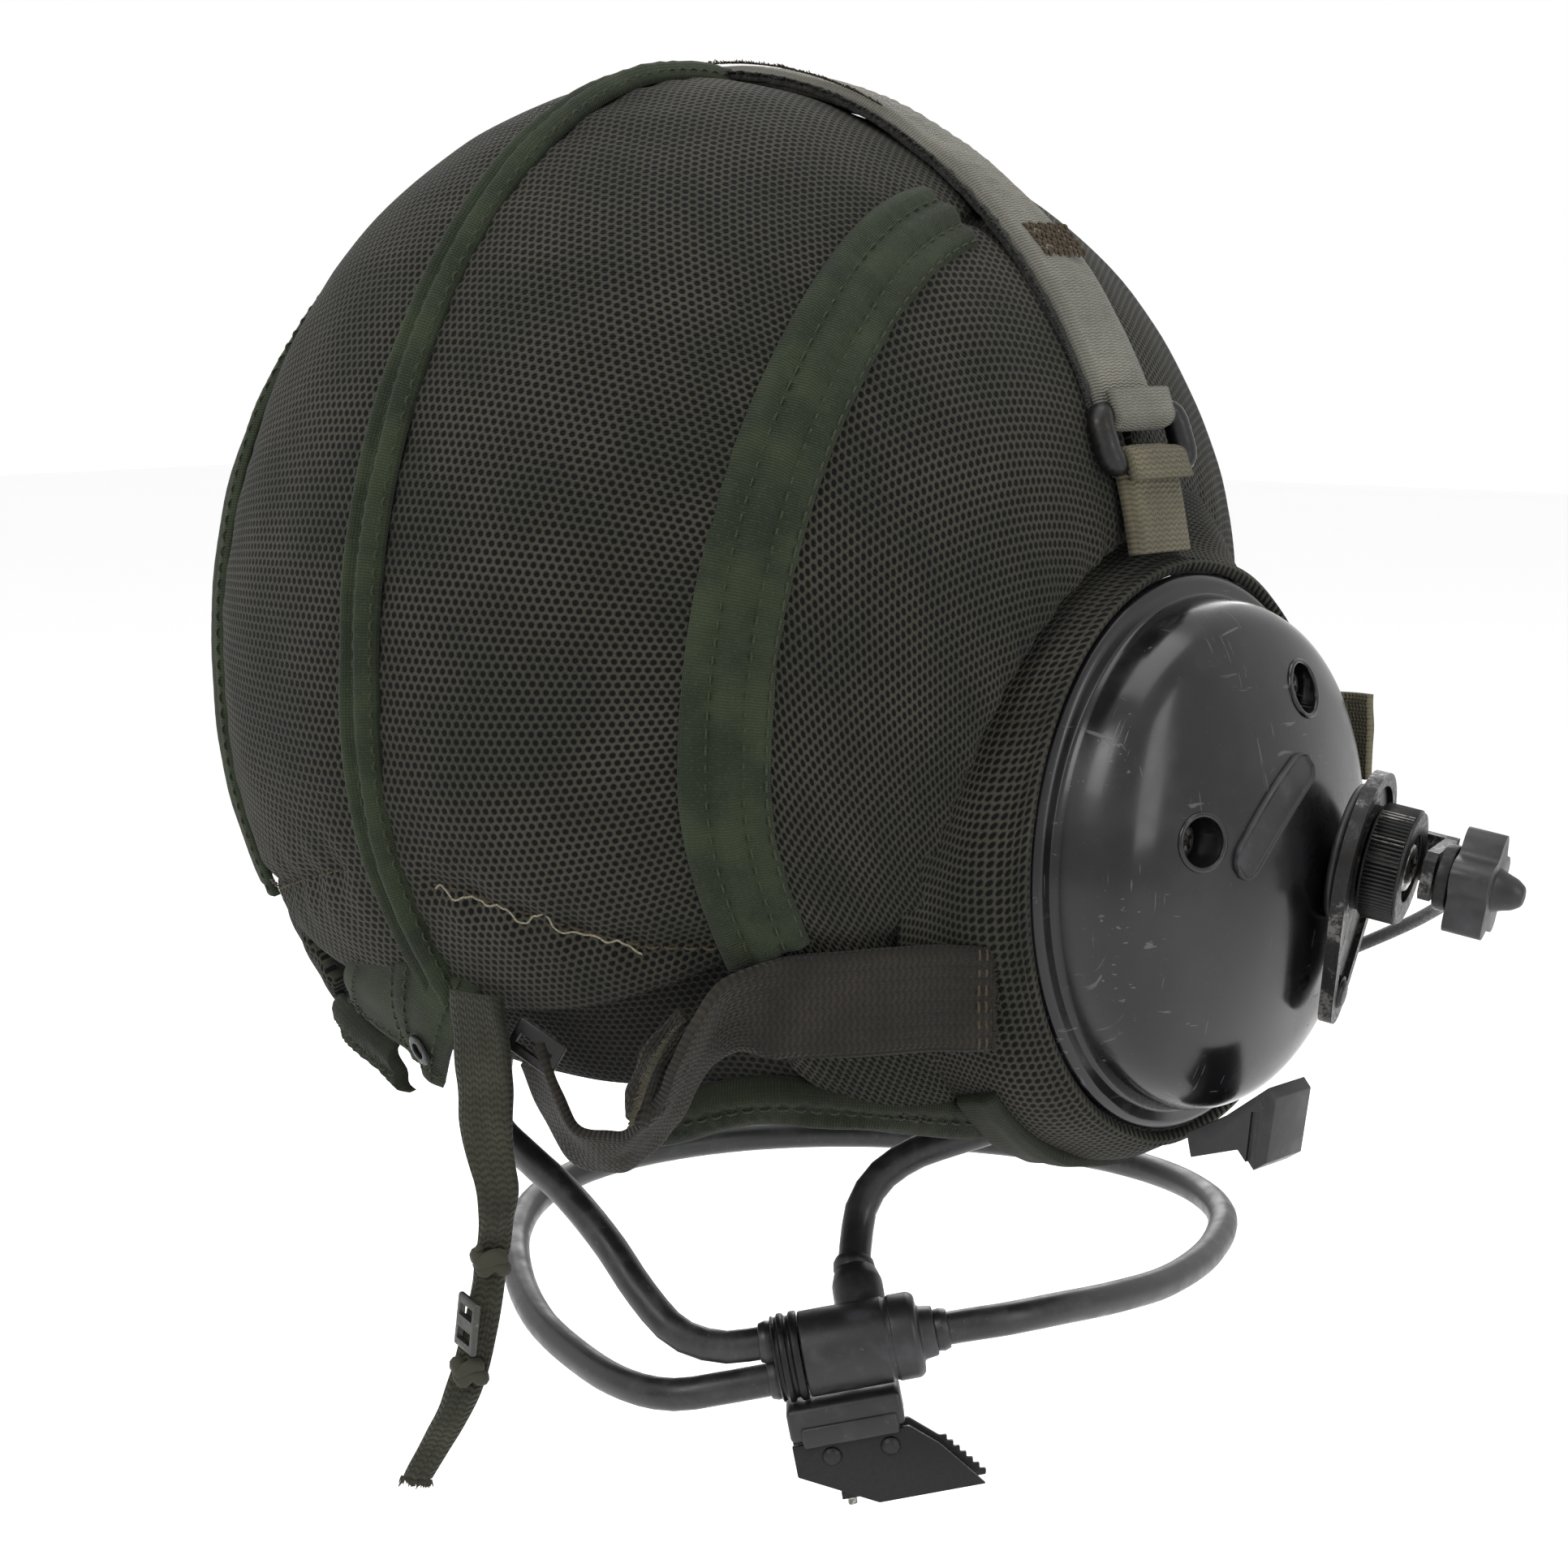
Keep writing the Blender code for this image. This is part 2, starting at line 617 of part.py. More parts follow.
def ear_shell(side, word):
    outer = [(0.0, 0.0268), (0.0100, 0.0256), (0.0220, 0.0228), (0.0320, 0.0198), (0.0390, 0.0168),
             (0.0435, 0.0132), (0.0462, 0.0088), (0.0478, 0.0034), (0.0503, 0.0030),
             (CUP_RADIUS, 0.0020), (CUP_RADIUS, 0.0)]
    inner = [(0.0455, 0.0), (0.0440, 0.0040), (0.0410, 0.0090), (0.0360, 0.0125), (0.0220, 0.0148),
             (0.0, 0.0160)]
    shell = lathe("ear_shell_" + word, outer + inner, "cup_black", cup_frame(side), 28, CUP_OVAL)
    for number, (place, depth) in enumerate(zip(SCREW_PLACES, SCREW_DEPTHS)):
        axis = frame_on(Vector((side * CUP_PLANE, place[0], place[1])), (side, 0.0, 0.0))
        cut(shell, rod_cutter("counterbore_%s_%d" % (word, number), COUNTERBORE, depth, 0.040, axis))
        head = "rear" if number == 0 else "front"
        lathe("cup_screw_%s_%s" % (head, word),
              [(0.0, depth + 0.0018), (0.0024, depth + 0.0016), (SCREW_RADIUS, depth + 0.0009),
               (SCREW_RADIUS, depth + GAP), (0.0, depth + GAP)], "steel", axis, 16)
    return shell


def cup_insides(side, word):
    frame = cup_frame(side)
    lathe("seal_plate_" + word,
          [(0.0500, -GAP), (0.0500, -0.0032), (0.0165, -0.0032), (0.0165, -GAP)],
          "plastic", frame, 26, CUP_OVAL, closed=True)
    cushion = []
    for step in range(12):
        angle = -2 * math.pi * (step + 0.5) / 12
        across, depth = math.cos(angle), math.sin(angle)
        cushion.append((0.0340 + 0.0072 * math.copysign(abs(across) ** 0.7, across),
                        -0.0108 + 0.0070 * math.copysign(abs(depth) ** 0.7, depth)))
    lathe("ear_seal_" + word, cushion, "seal_skin", frame, 26, CUP_OVAL, closed=True)
    lathe("receiver_" + word,
          [(0.0, 0.0090), (0.0125, 0.0090), (0.0130, 0.0080), (0.0130, 0.0020), (0.0180, 0.0020),
           (0.0180, GAP), (0.0135, GAP), (0.0135, -0.0030), (0.0, -0.0030)], "metal_dark", frame, 18)
    lathe("foam_liner_" + word,
          [(0.0350, 0.0110), (0.0400, 0.0060), (0.0400, 0.0006), (0.0225, 0.0006), (0.0225, 0.0110)],
          "foam", frame, 20, CUP_OVAL, closed=True)
    centre = Vector((side * GLAND_CENTRE.x, GLAND_CENTRE.y, GLAND_CENTRE.z))
    axis = Vector((side * GLAND_AXIS.x, GLAND_AXIS.y, GLAND_AXIS.z))
    half = GLAND_LENGTH / 2
    lathe("cable_gland_" + word,
          [(0.0, half), (0.0034, half), (0.0037, half - 0.0010), (0.0037, -half), (0.0, -half)],
          "rubber", frame_on(centre, axis), 12)


def ear_sleeve(side, word):
    """Fabric collar that holds the cup's flange in the cap."""
    lathe("ear_sleeve_" + word,
          [(0.0538, 0.0012), (0.0562, -0.0060), (0.0588, -0.0120), (0.0574, -0.0120),
           (0.0548, -0.0060), (0.0524, 0.0012)], "mesh", cup_frame(side), 28, CUP_OVAL, closed=True)


# Boom microphone on the right cup

def teardrop(radius, drop, tip, steps=20):
    """Outline of a round plate drawn down to a rounded point; local X is up."""
    points = []
    for step in range(steps + 1):
        angle = math.radians(-125.0 + 250.0 * step / steps)
        points.append((radius * math.cos(angle), radius * math.sin(angle)))
    for step in range(5):
        angle = math.radians(125.0 + 110.0 * step / 4)
        points.append((-drop + tip + tip * math.cos(angle), tip * math.sin(angle)))
    return points


def hub_point(height):
    return HUB_CENTRE + HUB_AXIS * height


def boom_pivot():
    frame = frame_on(HUB_CENTRE, HUB_AXIS)
    lathe("pivot_hub", [(0.0, 0.0104), (0.0050, 0.0104), (BOSS_RADIUS, 0.0098), (BOSS_RADIUS, 0.0012),
                        (0.0120, 0.0012), (0.0120, 0.0), (0.0, 0.0)], "metal_dark", frame, 28)
    plate = slab("boom_bracket", teardrop(BRACKET_RADIUS, BRACKET_DROP, 0.0050), 0.0016, 0.0042,
                 "metal_dark", frame)
    cut(plate, rod_cutter("hub_bore", BORE_RADIUS, -0.001, 0.008, frame))
    cut(plate, rod_cutter("tip_hole", 0.0016, -0.001, 0.008,
                          frame @ Matrix.Translation((-0.0262, 0.0, 0.0)), 12))
    apply_modifiers(plate)
    join(plate, block("arm", (-0.0045, -0.0162, 0.0030), (0.0045, -0.0132, 0.0168), "metal_dark", frame))
    join(plate, block("bridge", (-0.0045, -0.0160, 0.0146), (0.0045, 0.0045, 0.0168), "metal_dark", frame))
    join(plate, block("clamp_post", (-0.0018, -0.0018, 0.0160), (0.0018, 0.0018, 0.0216),
                      "metal_dark", frame))
    lathe("knob_screw", [(0.0, 0.0124), (0.0030, 0.0122), (0.0046, 0.0114), (0.0046, 0.0107),
                         (0.0, 0.0107)], "steel", frame, 20)


def joint_frames():
    """Empties on the axes of the moving pieces, at their joints."""
    places = {"boom_axis": hub_point(0.0030), "knob_axis": hub_point(0.0084),
              "star_axis": hub_point(0.0241), "tilt_axis": hub_point(0.0187)}
    frames = {name: frame_on(point, HUB_AXIS) for name, point in places.items()}
    frames["mic_axis"] = Matrix.Translation(BOOM_TIP)
    frames["clip_axis"] = junction_frame() @ Matrix.Translation((*CLIP_HINGE, CLIP_HEIGHT))
    made = {}
    for name, matrix in frames.items():
        empty = bpy.data.objects.new(name, None)
        empty.matrix_world = matrix
        PARTS.objects.link(empty)
        made[name] = empty
    return made


def hold(obj, parent):
    """Parent an object to an empty, leaving it where it is."""
    bpy.context.view_layer.update()
    place = obj.matrix_world.copy()
    obj.parent = parent
    obj.matrix_parent_inverse = parent.matrix_world.inverted()
    obj.matrix_world = place


def knurled_knob():
    frame = frame_on(HUB_CENTRE, HUB_AXIS)
    outline = []
    for step in range(2 * KNURLS):
        radius = KNOB_RADIUS - (0.0005 if step % 2 else 0.0)
        angle = math.pi * step / KNURLS
        outline.append((radius * math.cos(angle), radius * math.sin(angle)))
    knob = slab("knurled_knob", outline, 0.0048, 0.0120, "metal_dark", frame)
    cut(knob, rod_cutter("knob_bore", BORE_RADIUS, 0.003, 0.014, frame))
    return knob


def star_knob():
    frame = frame_on(HUB_CENTRE, HUB_AXIS)
    outline = []
    for step in range(12 * STAR_LOBES):
        angle = 2 * math.pi * step / (12 * STAR_LOBES)
        radius = STAR_RADIUS - 0.0014 * (1 - math.cos(STAR_LOBES * angle))
        outline.append((radius * math.cos(angle), radius * math.sin(angle)))
    knob = slab("star_knob", outline, 0.0205, 0.0277, "plastic", frame)
    cut(knob, rod_cutter("star_bore", 0.0032, 0.018, 0.0231, frame, 16))
    apply_modifiers(knob)
    stub = lathe("stub", [(0.0, 0.0331), (0.0022, 0.0326), (0.0036, 0.0311), (0.0040, 0.0291),
                          (0.0042, 0.0251), (0.0, 0.0251)], "plastic", frame, 20)
    return join(knob, apply_modifiers(stub))


def boom_arm():
    """Flat eye clamped under the star knob, with the wire arm that curves to the mouth."""
    frame = frame_on(HUB_CENTRE, HUB_AXIS)
    eye = slab("boom_arm", [(0.0062 * math.cos(math.radians(15 * i)),
                             0.0062 * math.sin(math.radians(15 * i))) for i in range(24)],
               0.0174, 0.0200, "metal_dark", frame)
    cut(eye, rod_cutter("eye_bore", 0.0032, 0.015, 0.022, frame, 16))
    apply_modifiers(eye)
    start = hub_point(0.0187)
    forward = Vector((0.41, -0.90, -0.10)).normalized()
    forward = (forward - HUB_AXIS * forward.dot(HUB_AXIS)).normalized()
    rod = meshed(tube("rod", (start + forward * 0.0046, start + forward * 0.0120,
                              start + forward * 0.0220, (-0.1175, -0.0640, -0.0110),
                              (-0.1060, -0.0850, -0.0180), (-0.0890, -0.1010, -0.0270),
                              (-0.0680, -0.1120, -0.0370), BOOM_TIP), BOOM_RADIUS * 0.6,
                      "metal_dark", 0.0085))
    return join(eye, rod)


def microphone():
    """Small round microphone facing the lips, on a cross pin at the arm's end."""
    frame = frame_on(BOOM_TIP + MIC_OFFSET, (0.25, 0.968, 0.0))
    body = lathe("microphone", [(0.0, 0.0052), (0.0080, 0.0050), (MIC_RADIUS, 0.0036),
                                (MIC_RADIUS, -0.0040), (0.0076, -0.0056), (0.0, -0.0060)],
                 "plastic", frame, 24)
    lathe("mic_windscreen", [(0.0, 0.0100), (0.0060, 0.0092), (0.0092, 0.0072), (0.0096, 0.0058),
                             (0.0, 0.0058)], "foam", frame, 20)
    return body


def cup_fittings():
    """The moulded hook under the right cup, and the strap tab on its front."""
    hook = [(0.0500, 0.0090), (0.0455, 0.0175), (0.0390, 0.0265), (0.0408, 0.0280), (0.0530, 0.0262),
            (0.0550, 0.0230), (0.0515, 0.0200), (0.0545, 0.0100)]
    frame = frame_on(Vector((-CUP_PLANE, 0.0035, 0.0)), (0.0, -1.0, 0.0), (0.0, 0.0, 1.0))
    slab("lower_hook", [(-down, out) for down, out in hook], -0.0060, 0.0060, "plastic", frame)
    block("front_tab", (-0.1085, -0.0470, 0.0100), (-0.1010, -0.0452, 0.0260), "webbing",
          None, 0.0004)


# Junction of the cords, with the clip that holds it to the clothing

def junction_frame():
    """Local X along the junction to the wearer's right, Y inward to the neck, Z up."""
    x = JUNCTION_AXIS
    z = (Vector((0.0, 0.0, 1.0)) - x * x.z).normalized()
    matrix = Matrix((x, z.cross(x), z)).transposed().to_4x4()
    matrix.translation = JUNCTION_CENTRE
    return matrix


def junction():
    frame = frame_on(JUNCTION_CENTRE, JUNCTION_AXIS)
    body = lathe("junction_body",
                 [(0.0, 0.0150), (0.0046, 0.0150), (0.0050, 0.0120), (0.0074, 0.0118),
                  (JUNCTION_RADIUS, 0.0110), (JUNCTION_RADIUS, -0.0098), (0.0, -0.0098)],
                 "plastic", frame, 28)
    apply_modifiers(body)
    local = junction_frame()
    tilt = local @ Matrix.Rotation(math.radians(-50.0), 4, "X")
    spigot = lathe("spigot", [(0.0, 0.0158), (0.0040, 0.0158), (0.0048, 0.0130), (0.0048, 0.0040),
                              (0.0, 0.0040)], "plastic", tilt @ Matrix.Translation((0.002, 0, 0)), 16)
    join(body, apply_modifiers(spigot))
    lathe("junction_collar", [(0.0, -0.0101), (0.0083, -0.0101), (0.0083, -0.0116), (0.0077, -0.0120),
                              (0.0077, -0.0130), (0.0083, -0.0134), (0.0083, -0.0150), (0.0, -0.0150)],
          "metal_dark", frame, 28)
    block("clip_mount", (-0.0150, -0.0056, -0.0150), (0.0065, 0.0045, -0.0086), "plastic", local, 0.0008)


def clip():
    """Sheet jaws on an upright pin, the rear one pressed shut by a coil spring."""
    local = junction_frame()
    face = local @ Matrix.Rotation(math.radians(90.0), 4, "X")
    slab("clip_front_jaw", JAW_OUTLINE, 0.0040, 0.0052, "metal_dark", face)
    rear = slab("clip_rear_jaw", JAW_OUTLINE, -0.0010, 0.0002, "metal_dark", face)
    a, o = CLIP_HINGE
    pin = local @ Matrix.Translation((a, o, 0.0))
    for number, height in enumerate((-0.0190, -0.0270)):
        join(rear, block("lug_%d" % number, (a - LUG_HALF_WIDTH, o - 0.0016, height - 0.0006),
                         (a + LUG_HALF_WIDTH, 0.0006, height + 0.0006), "metal_dark", local))
    cut(rear, rod_cutter("pin_bore", 0.0012, -0.032, -0.0158, pin, 12))
    lathe("clip_pin", [(0.0, -0.0158), (0.0009, -0.0158), (0.0009, -0.0292), (0.0, -0.0292)],
          "steel", pin, 12)
    lathe("clip_spring", [(0.0016, -0.0205), (0.0016, -0.0255), (0.0012, -0.0255), (0.0012, -0.0205)],
          "steel", pin, 12, closed=True)
    return rear


def build():
    for side, word in ((1, "left"), (-1, "right")):
        mesh_panels(side, word)
        ear_sleeve(side, word)
        ear_shell(side, word)
        cup_insides(side, word)
    seams()
    pads()
    straps()
    nape_straps()
    boom_pivot()
    knurled_knob()
    star_knob()
    boom_arm()
    microphone()
    cup_fittings()
    junction()
    clip()
    tube("lead_left", LEAD_LEFT_ROUTE, CORD_RADIUS, "rubber", 0.0140)
    tube("lead_right", LEAD_RIGHT_ROUTE, CORD_RADIUS, "rubber", 0.0125)
    tube("neck_loop", NECK_LOOP_ROUTE, CORD_RADIUS, "rubber", 0.0150)
    for name, empty in joint_frames().items():
        for child in MOVING[name]:
            hold(bpy.data.objects[child], empty)


empty_the_scene()
PARTS = new_collection("radio_headset")
CUTTERS = new_collection("cutters")
build()
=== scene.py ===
"""Looks of the crewman's radio headset: mesh skullcap, ear cups, boom, cords and clothing clip."""
import json
import math
import bmesh
import bpy
from mathutils import Matrix, Vector, noise

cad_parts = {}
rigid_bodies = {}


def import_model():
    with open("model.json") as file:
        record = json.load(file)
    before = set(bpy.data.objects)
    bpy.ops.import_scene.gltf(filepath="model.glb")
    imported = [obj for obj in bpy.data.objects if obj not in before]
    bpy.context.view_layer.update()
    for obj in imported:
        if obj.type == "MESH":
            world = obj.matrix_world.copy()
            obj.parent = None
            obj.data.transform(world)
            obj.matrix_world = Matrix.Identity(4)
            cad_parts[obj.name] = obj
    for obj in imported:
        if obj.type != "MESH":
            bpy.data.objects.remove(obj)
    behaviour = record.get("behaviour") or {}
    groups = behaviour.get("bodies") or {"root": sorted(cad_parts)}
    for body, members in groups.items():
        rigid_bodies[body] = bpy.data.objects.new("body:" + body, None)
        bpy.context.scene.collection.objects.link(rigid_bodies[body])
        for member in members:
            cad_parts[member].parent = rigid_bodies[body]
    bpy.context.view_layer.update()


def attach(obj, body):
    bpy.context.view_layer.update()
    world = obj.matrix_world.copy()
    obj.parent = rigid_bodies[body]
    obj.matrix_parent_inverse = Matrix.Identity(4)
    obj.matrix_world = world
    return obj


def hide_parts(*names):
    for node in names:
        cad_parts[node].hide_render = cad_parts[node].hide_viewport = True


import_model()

# Shapes repeated from the CAD, in metres
CAP_CENTRE = Vector((0.0, 0.020, 0.036))
CAP_HALF_WIDTH = 0.095
CAP_FRONT = 0.110
CAP_REAR = 0.095
CAP_TOP = 0.106
CAP_DROP = 0.140
NAPE_TUCK = 0.016
TUCK_START = 0.020
TUCK_HEIGHT = 0.045
CORONAL_Y = 0.010
FRONT_HEM_ANGLE = 22.0
NAPE_ANGLE = 216.0
SEAM_LIFT = 0.0016
CROWN_RISE = 0.0024
CROWN_FALL = 0.0034
STRAP_LIFT = 0.0050
CUP_PLANE = 0.0950
CUP_OVAL = 0.94
SLEEVE_OVAL = 0.96
SCREW_PLACES = ((0.0246, 0.0068), (-0.0105, 0.0308))
SCREW_DEPTHS = (0.0160, 0.0152)
CORD_RADIUS = 0.0031
GLAND_CENTRE = Vector((0.0850, 0.0140, -0.0445))
GLAND_AXIS = Vector((-0.90, 0.10, -0.42)).normalized()
HUB_CENTRE = Vector((-0.1213, -0.0165, 0.0005))
HUB_AXIS = Vector((-0.935, -0.300, -0.190)).normalized()
JUNCTION_CENTRE = Vector((-0.0560, 0.0460, -0.0910))
JUNCTION_AXIS = Vector((-0.753, -0.632, 0.186)).normalized()
BOOM_TIP = Vector((-0.0480, -0.1180, -0.0460))
MESH_PITCH = 0.00165
STRAP_WIDTH = 0.0190
BUCKLE_GAP = 0.0184

# The camera: as far away as for a portrait, at the height of the ears
AIM = Vector((0.0, 0.0, 0.004))
TO_CAMERA = Vector((-0.6365, 0.7586, 0.139)).normalized()
CAMERA_DISTANCE = 0.700
LENS = 79.57

camera = bpy.data.objects.new("camera", bpy.data.cameras.new("camera"))
camera.data.lens = LENS
camera.data.sensor_width = 36.0
camera.data.clip_start = 0.01
camera.location = AIM + TO_CAMERA * CAMERA_DISTANCE
camera.rotation_euler = (-TO_CAMERA).to_track_quat("-Z", "Y").to_euler()
bpy.context.scene.collection.objects.link(camera)
bpy.context.scene.camera = camera


# Materials

class Paint:
    """Small helper that writes a node material."""

    def __init__(self, name, roughness=0.6, metallic=0.0, **sockets):
        self.material = bpy.data.materials.new(name)
        self.material.use_nodes = True
        self.tree = self.material.node_tree
        self.shader = self.tree.nodes["Principled BSDF"]
        self.shader.inputs["Roughness"].default_value = roughness
        self.shader.inputs["Metallic"].default_value = metallic
        for key, value in sockets.items():
            self.shader.inputs[key.replace("_", " ")].default_value = value

    def node(self, kind, **values):
        made = self.tree.nodes.new("ShaderNode" + kind)
        for key, value in values.items():
            setattr(made, key, value)
        return made

    def put(self, value, socket):
        if isinstance(value, bpy.types.NodeSocket):
            self.tree.links.new(value, socket)
        else:
            socket.default_value = value

    def math(self, operation, *values, clamp=False):
        made = self.node("Math", operation=operation, use_clamp=clamp)
        for value, socket in zip(values, made.inputs):
            self.put(value, socket)
        return made.outputs[0]

    def vector(self, operation, *values, scale=None):
        made = self.node("VectorMath", operation=operation)
        for value, socket in zip(values, made.inputs):
            self.put(value, socket)
        if scale is not None:
            made.inputs["Scale"].default_value = scale
        return made.outputs["Value"] if operation == "LENGTH" else made.outputs["Vector"]

    def step(self, value, low, high, bottom=0.0, top=1.0):
        made = self.node("MapRange", interpolation_type="SMOOTHSTEP")
        for name, item in (("Value", value), ("From Min", low), ("From Max", high),
                           ("To Min", bottom), ("To Max", top)):
            self.put(item, made.inputs[name])
        return made.outputs["Result"]

    def mix(self, factor, first, second, blend="MIX"):
        made = self.node("Mix", data_type="RGBA", blend_type=blend)
        self.put(factor, made.inputs["Factor"])
        for value, socket in ((first, made.inputs[6]), (second, made.inputs[7])):
            self.put((*value, 1.0) if isinstance(value, tuple) else value, socket)
        return made.outputs[2]

    def place(self, uv=False):
        coords = self.node("TexCoord")
        return coords.outputs["UV" if uv else "Object"]

    def split(self, vector):
        made = self.node("SeparateXYZ")
        self.put(vector, made.inputs[0])
        return made.outputs

    def join(self, x, y, z=0.0):
        made = self.node("CombineXYZ")
        for value, socket in zip((x, y, z), made.inputs):
            self.put(value, socket)
        return made.outputs[0]

    def noise(self, place, scale, detail=3.0, roughness=0.55):
        made = self.node("TexNoise")
        self.put(place, made.inputs["Vector"])
        made.inputs["Scale"].default_value = scale
        made.inputs["Detail"].default_value = detail
        made.inputs["Roughness"].default_value = roughness
        return made.outputs["Fac"]

    def stretched(self, place, x, y, z):
        return self.vector("MULTIPLY", place, (x, y, z))

    def bump(self, height, distance, strength=1.0, normal=None):
        made = self.node("Bump")
        made.inputs["Strength"].default_value = strength
        made.inputs["Distance"].default_value = distance
        self.put(height, made.inputs["Height"])
        if normal is not None:
            self.put(normal, made.inputs["Normal"])
        return made.outputs[0]

    def done(self, colour, normal=None, roughness=None):
        self.put((*colour, 1.0) if isinstance(colour, tuple) else colour,
                 self.shader.inputs["Base Color"])
        if normal is not None:
            self.put(normal, self.shader.inputs["Normal"])
        if roughness is not None:
            self.put(roughness, self.shader.inputs["Roughness"])
        return self.material


def spacer_mesh(name, yarn=(0.034, 0.032, 0.023), shade=(0.016, 0.017, 0.012),
                painted_hole_shade=(0.001, 0.001, 0.001)):
    """Warp-knitted spacer mesh: a hexagonal field of round holes between fine yarns, the holes painted
    near-black as painted shade.
    """
    p = Paint(name, 0.88, 0.0, Sheen_Weight=0.03, Sheen_Roughness=0.55, Specular_IOR_Level=0.15)
    uv = p.place(uv=True)
    wander = p.noise(uv, 260.0, 2.0)
    soft = p.vector("ADD", uv, p.join(p.math("MULTIPLY", wander, 0.00022),
                                      p.math("MULTIPLY", wander, -0.00018)))
    cell = p.stretched(soft, 1 / MESH_PITCH, 1 / (MESH_PITCH * math.sqrt(3)), 0.0)
    near = []
    for shift in (0.0, 0.5):
        part = p.vector("FRACTION", p.vector("ADD", cell, (shift, shift, 0.0)))
        part = p.vector("MULTIPLY", p.vector("SUBTRACT", part, (0.5, 0.5, 0.0)),
                        (1.0, math.sqrt(3), 0.0))
        near.append(p.vector("LENGTH", part))
    distance = p.math("MINIMUM", *near)
    solid = p.step(distance, 0.27, 0.40)
    x, y, _ = p.split(uv)
    strand = p.math("SINE", p.math("MULTIPLY", p.math("ADD", y, p.math("MULTIPLY", x, 0.35)),
                                   2 * math.pi / 0.00055))
    patch = p.noise(uv, 34.0, 3.0)
    fine = p.noise(uv, 2600.0, 2.0)
    colour = p.mix(p.step(patch, 0.32, 0.68), shade, yarn)
    colour = p.mix(p.math("MULTIPLY", p.step(fine, 0.35, 0.8), 0.45), colour,
                   tuple(1.7 * c for c in yarn))
    colour = p.mix(p.math("MULTIPLY", p.step(strand, -0.2, 1.0), 0.22), colour,
                   tuple(0.45 * c for c in yarn))
    # The holes take the near-black colour: painted shade in the holes.
    colour = p.mix(solid, painted_hole_shade, colour)
    height = p.math("ADD", p.math("MULTIPLY", p.step(distance, 0.22, 0.52), 1.0),
                    p.math("MULTIPLY", strand, 0.10))
    return p.done(colour, p.bump(height, 0.00045, 0.9), p.step(solid, 0.0, 1.0, 0.97, 0.82))


def tape_cloth(name, light=(0.027, 0.036, 0.018), dark=(0.011, 0.016, 0.008), rib=0.00052):
    """Green twill tape with fine crosswise ribs, rubbed paler in places, with painted shade in the
    grooves between the ribs.
    """
    p = Paint(name, 0.82, 0.0, Sheen_Weight=0.04, Sheen_Roughness=0.45, Specular_IOR_Level=0.18)
    uv = p.place(uv=True)
    x, y, _ = p.split(uv)
    rows = p.math("SINE", p.math("MULTIPLY", y, 2 * math.pi / rib))
    warps = p.math("SINE", p.math("MULTIPLY", x, 2 * math.pi / (rib * 0.8)))
    patch = p.noise(uv, 70.0, 4.0)
    fleck = p.noise(uv, 1900.0, 2.0)
    colour = p.mix(p.step(patch, 0.35, 0.68), dark, light)
    colour = p.mix(p.math("MULTIPLY", p.step(fleck, 0.5, 0.8), 0.4), colour,
                   tuple(1.8 * c for c in light))
    # Darker in the grooves between the ribs: painted shade.
    colour = p.mix(p.math("MULTIPLY", p.step(rows, -1.0, 0.4, 0.35, 0.0), 1.0), colour,
                   tuple(0.4 * c for c in dark))
    height = p.math("ADD", rows, p.math("ADD", p.math("MULTIPLY", warps, 0.5),
                                        p.math("MULTIPLY", fleck, 0.8)))
    return p.done(colour, p.bump(height, 0.00010, 0.8), p.step(patch, 0.3, 0.7, 0.78, 0.92))


def webbing(name, light=(0.135, 0.128, 0.092), dark=(0.070, 0.066, 0.046), rib=0.0011,
            width=0.0155):
    """Woven strap: crosswise ribs made of short floats, with a darker selvedge and painted shade in
    the grooves between the ribs.
    """
    p = Paint(name, 0.78, 0.0, Sheen_Weight=0.05, Sheen_Roughness=0.4, Specular_IOR_Level=0.22)
    uv = p.place(uv=True)
    x, y, _ = p.split(uv)
    slant = p.math("ADD", y, p.math("MULTIPLY", p.math("ABSOLUTE", p.math("SINE", p.math(
        "MULTIPLY", x, math.pi / 0.0021))), rib * 0.45))
    rows = p.math("SINE", p.math("MULTIPLY", slant, 2 * math.pi / rib))
    warps = p.math("SINE", p.math("MULTIPLY", x, 2 * math.pi / 0.0007))
    patch = p.noise(uv, 55.0, 4.0)
    fleck = p.noise(p.stretched(uv, 1.0, 0.4, 1.0), 2100.0, 2.0)
    colour = p.mix(p.step(patch, 0.30, 0.72), dark, light)
    # Darker in the grooves between the ribs: painted shade.
    colour = p.mix(p.math("MULTIPLY", p.step(rows, -1.0, 0.1, 0.55, 0.0), 1.0), colour,
                   tuple(0.35 * c for c in dark))
    colour = p.mix(p.math("MULTIPLY", p.step(fleck, 0.52, 0.8), 0.35), colour,
                   tuple(1.5 * c for c in light))
    selvedge = p.step(p.math("ABSOLUTE", x), width * 0.40, width * 0.50, 0.0, 0.5)
    colour = p.mix(selvedge, colour, tuple(0.6 * c for c in dark))
    height = p.math("ADD", rows, p.math("ADD", p.math("MULTIPLY", warps, 0.35),
                                        p.math("MULTIPLY", fleck, 0.6)))
    return p.done(colour, p.bump(height, 0.00022, 0.9), p.step(patch, 0.3, 0.7, 0.70, 0.86))


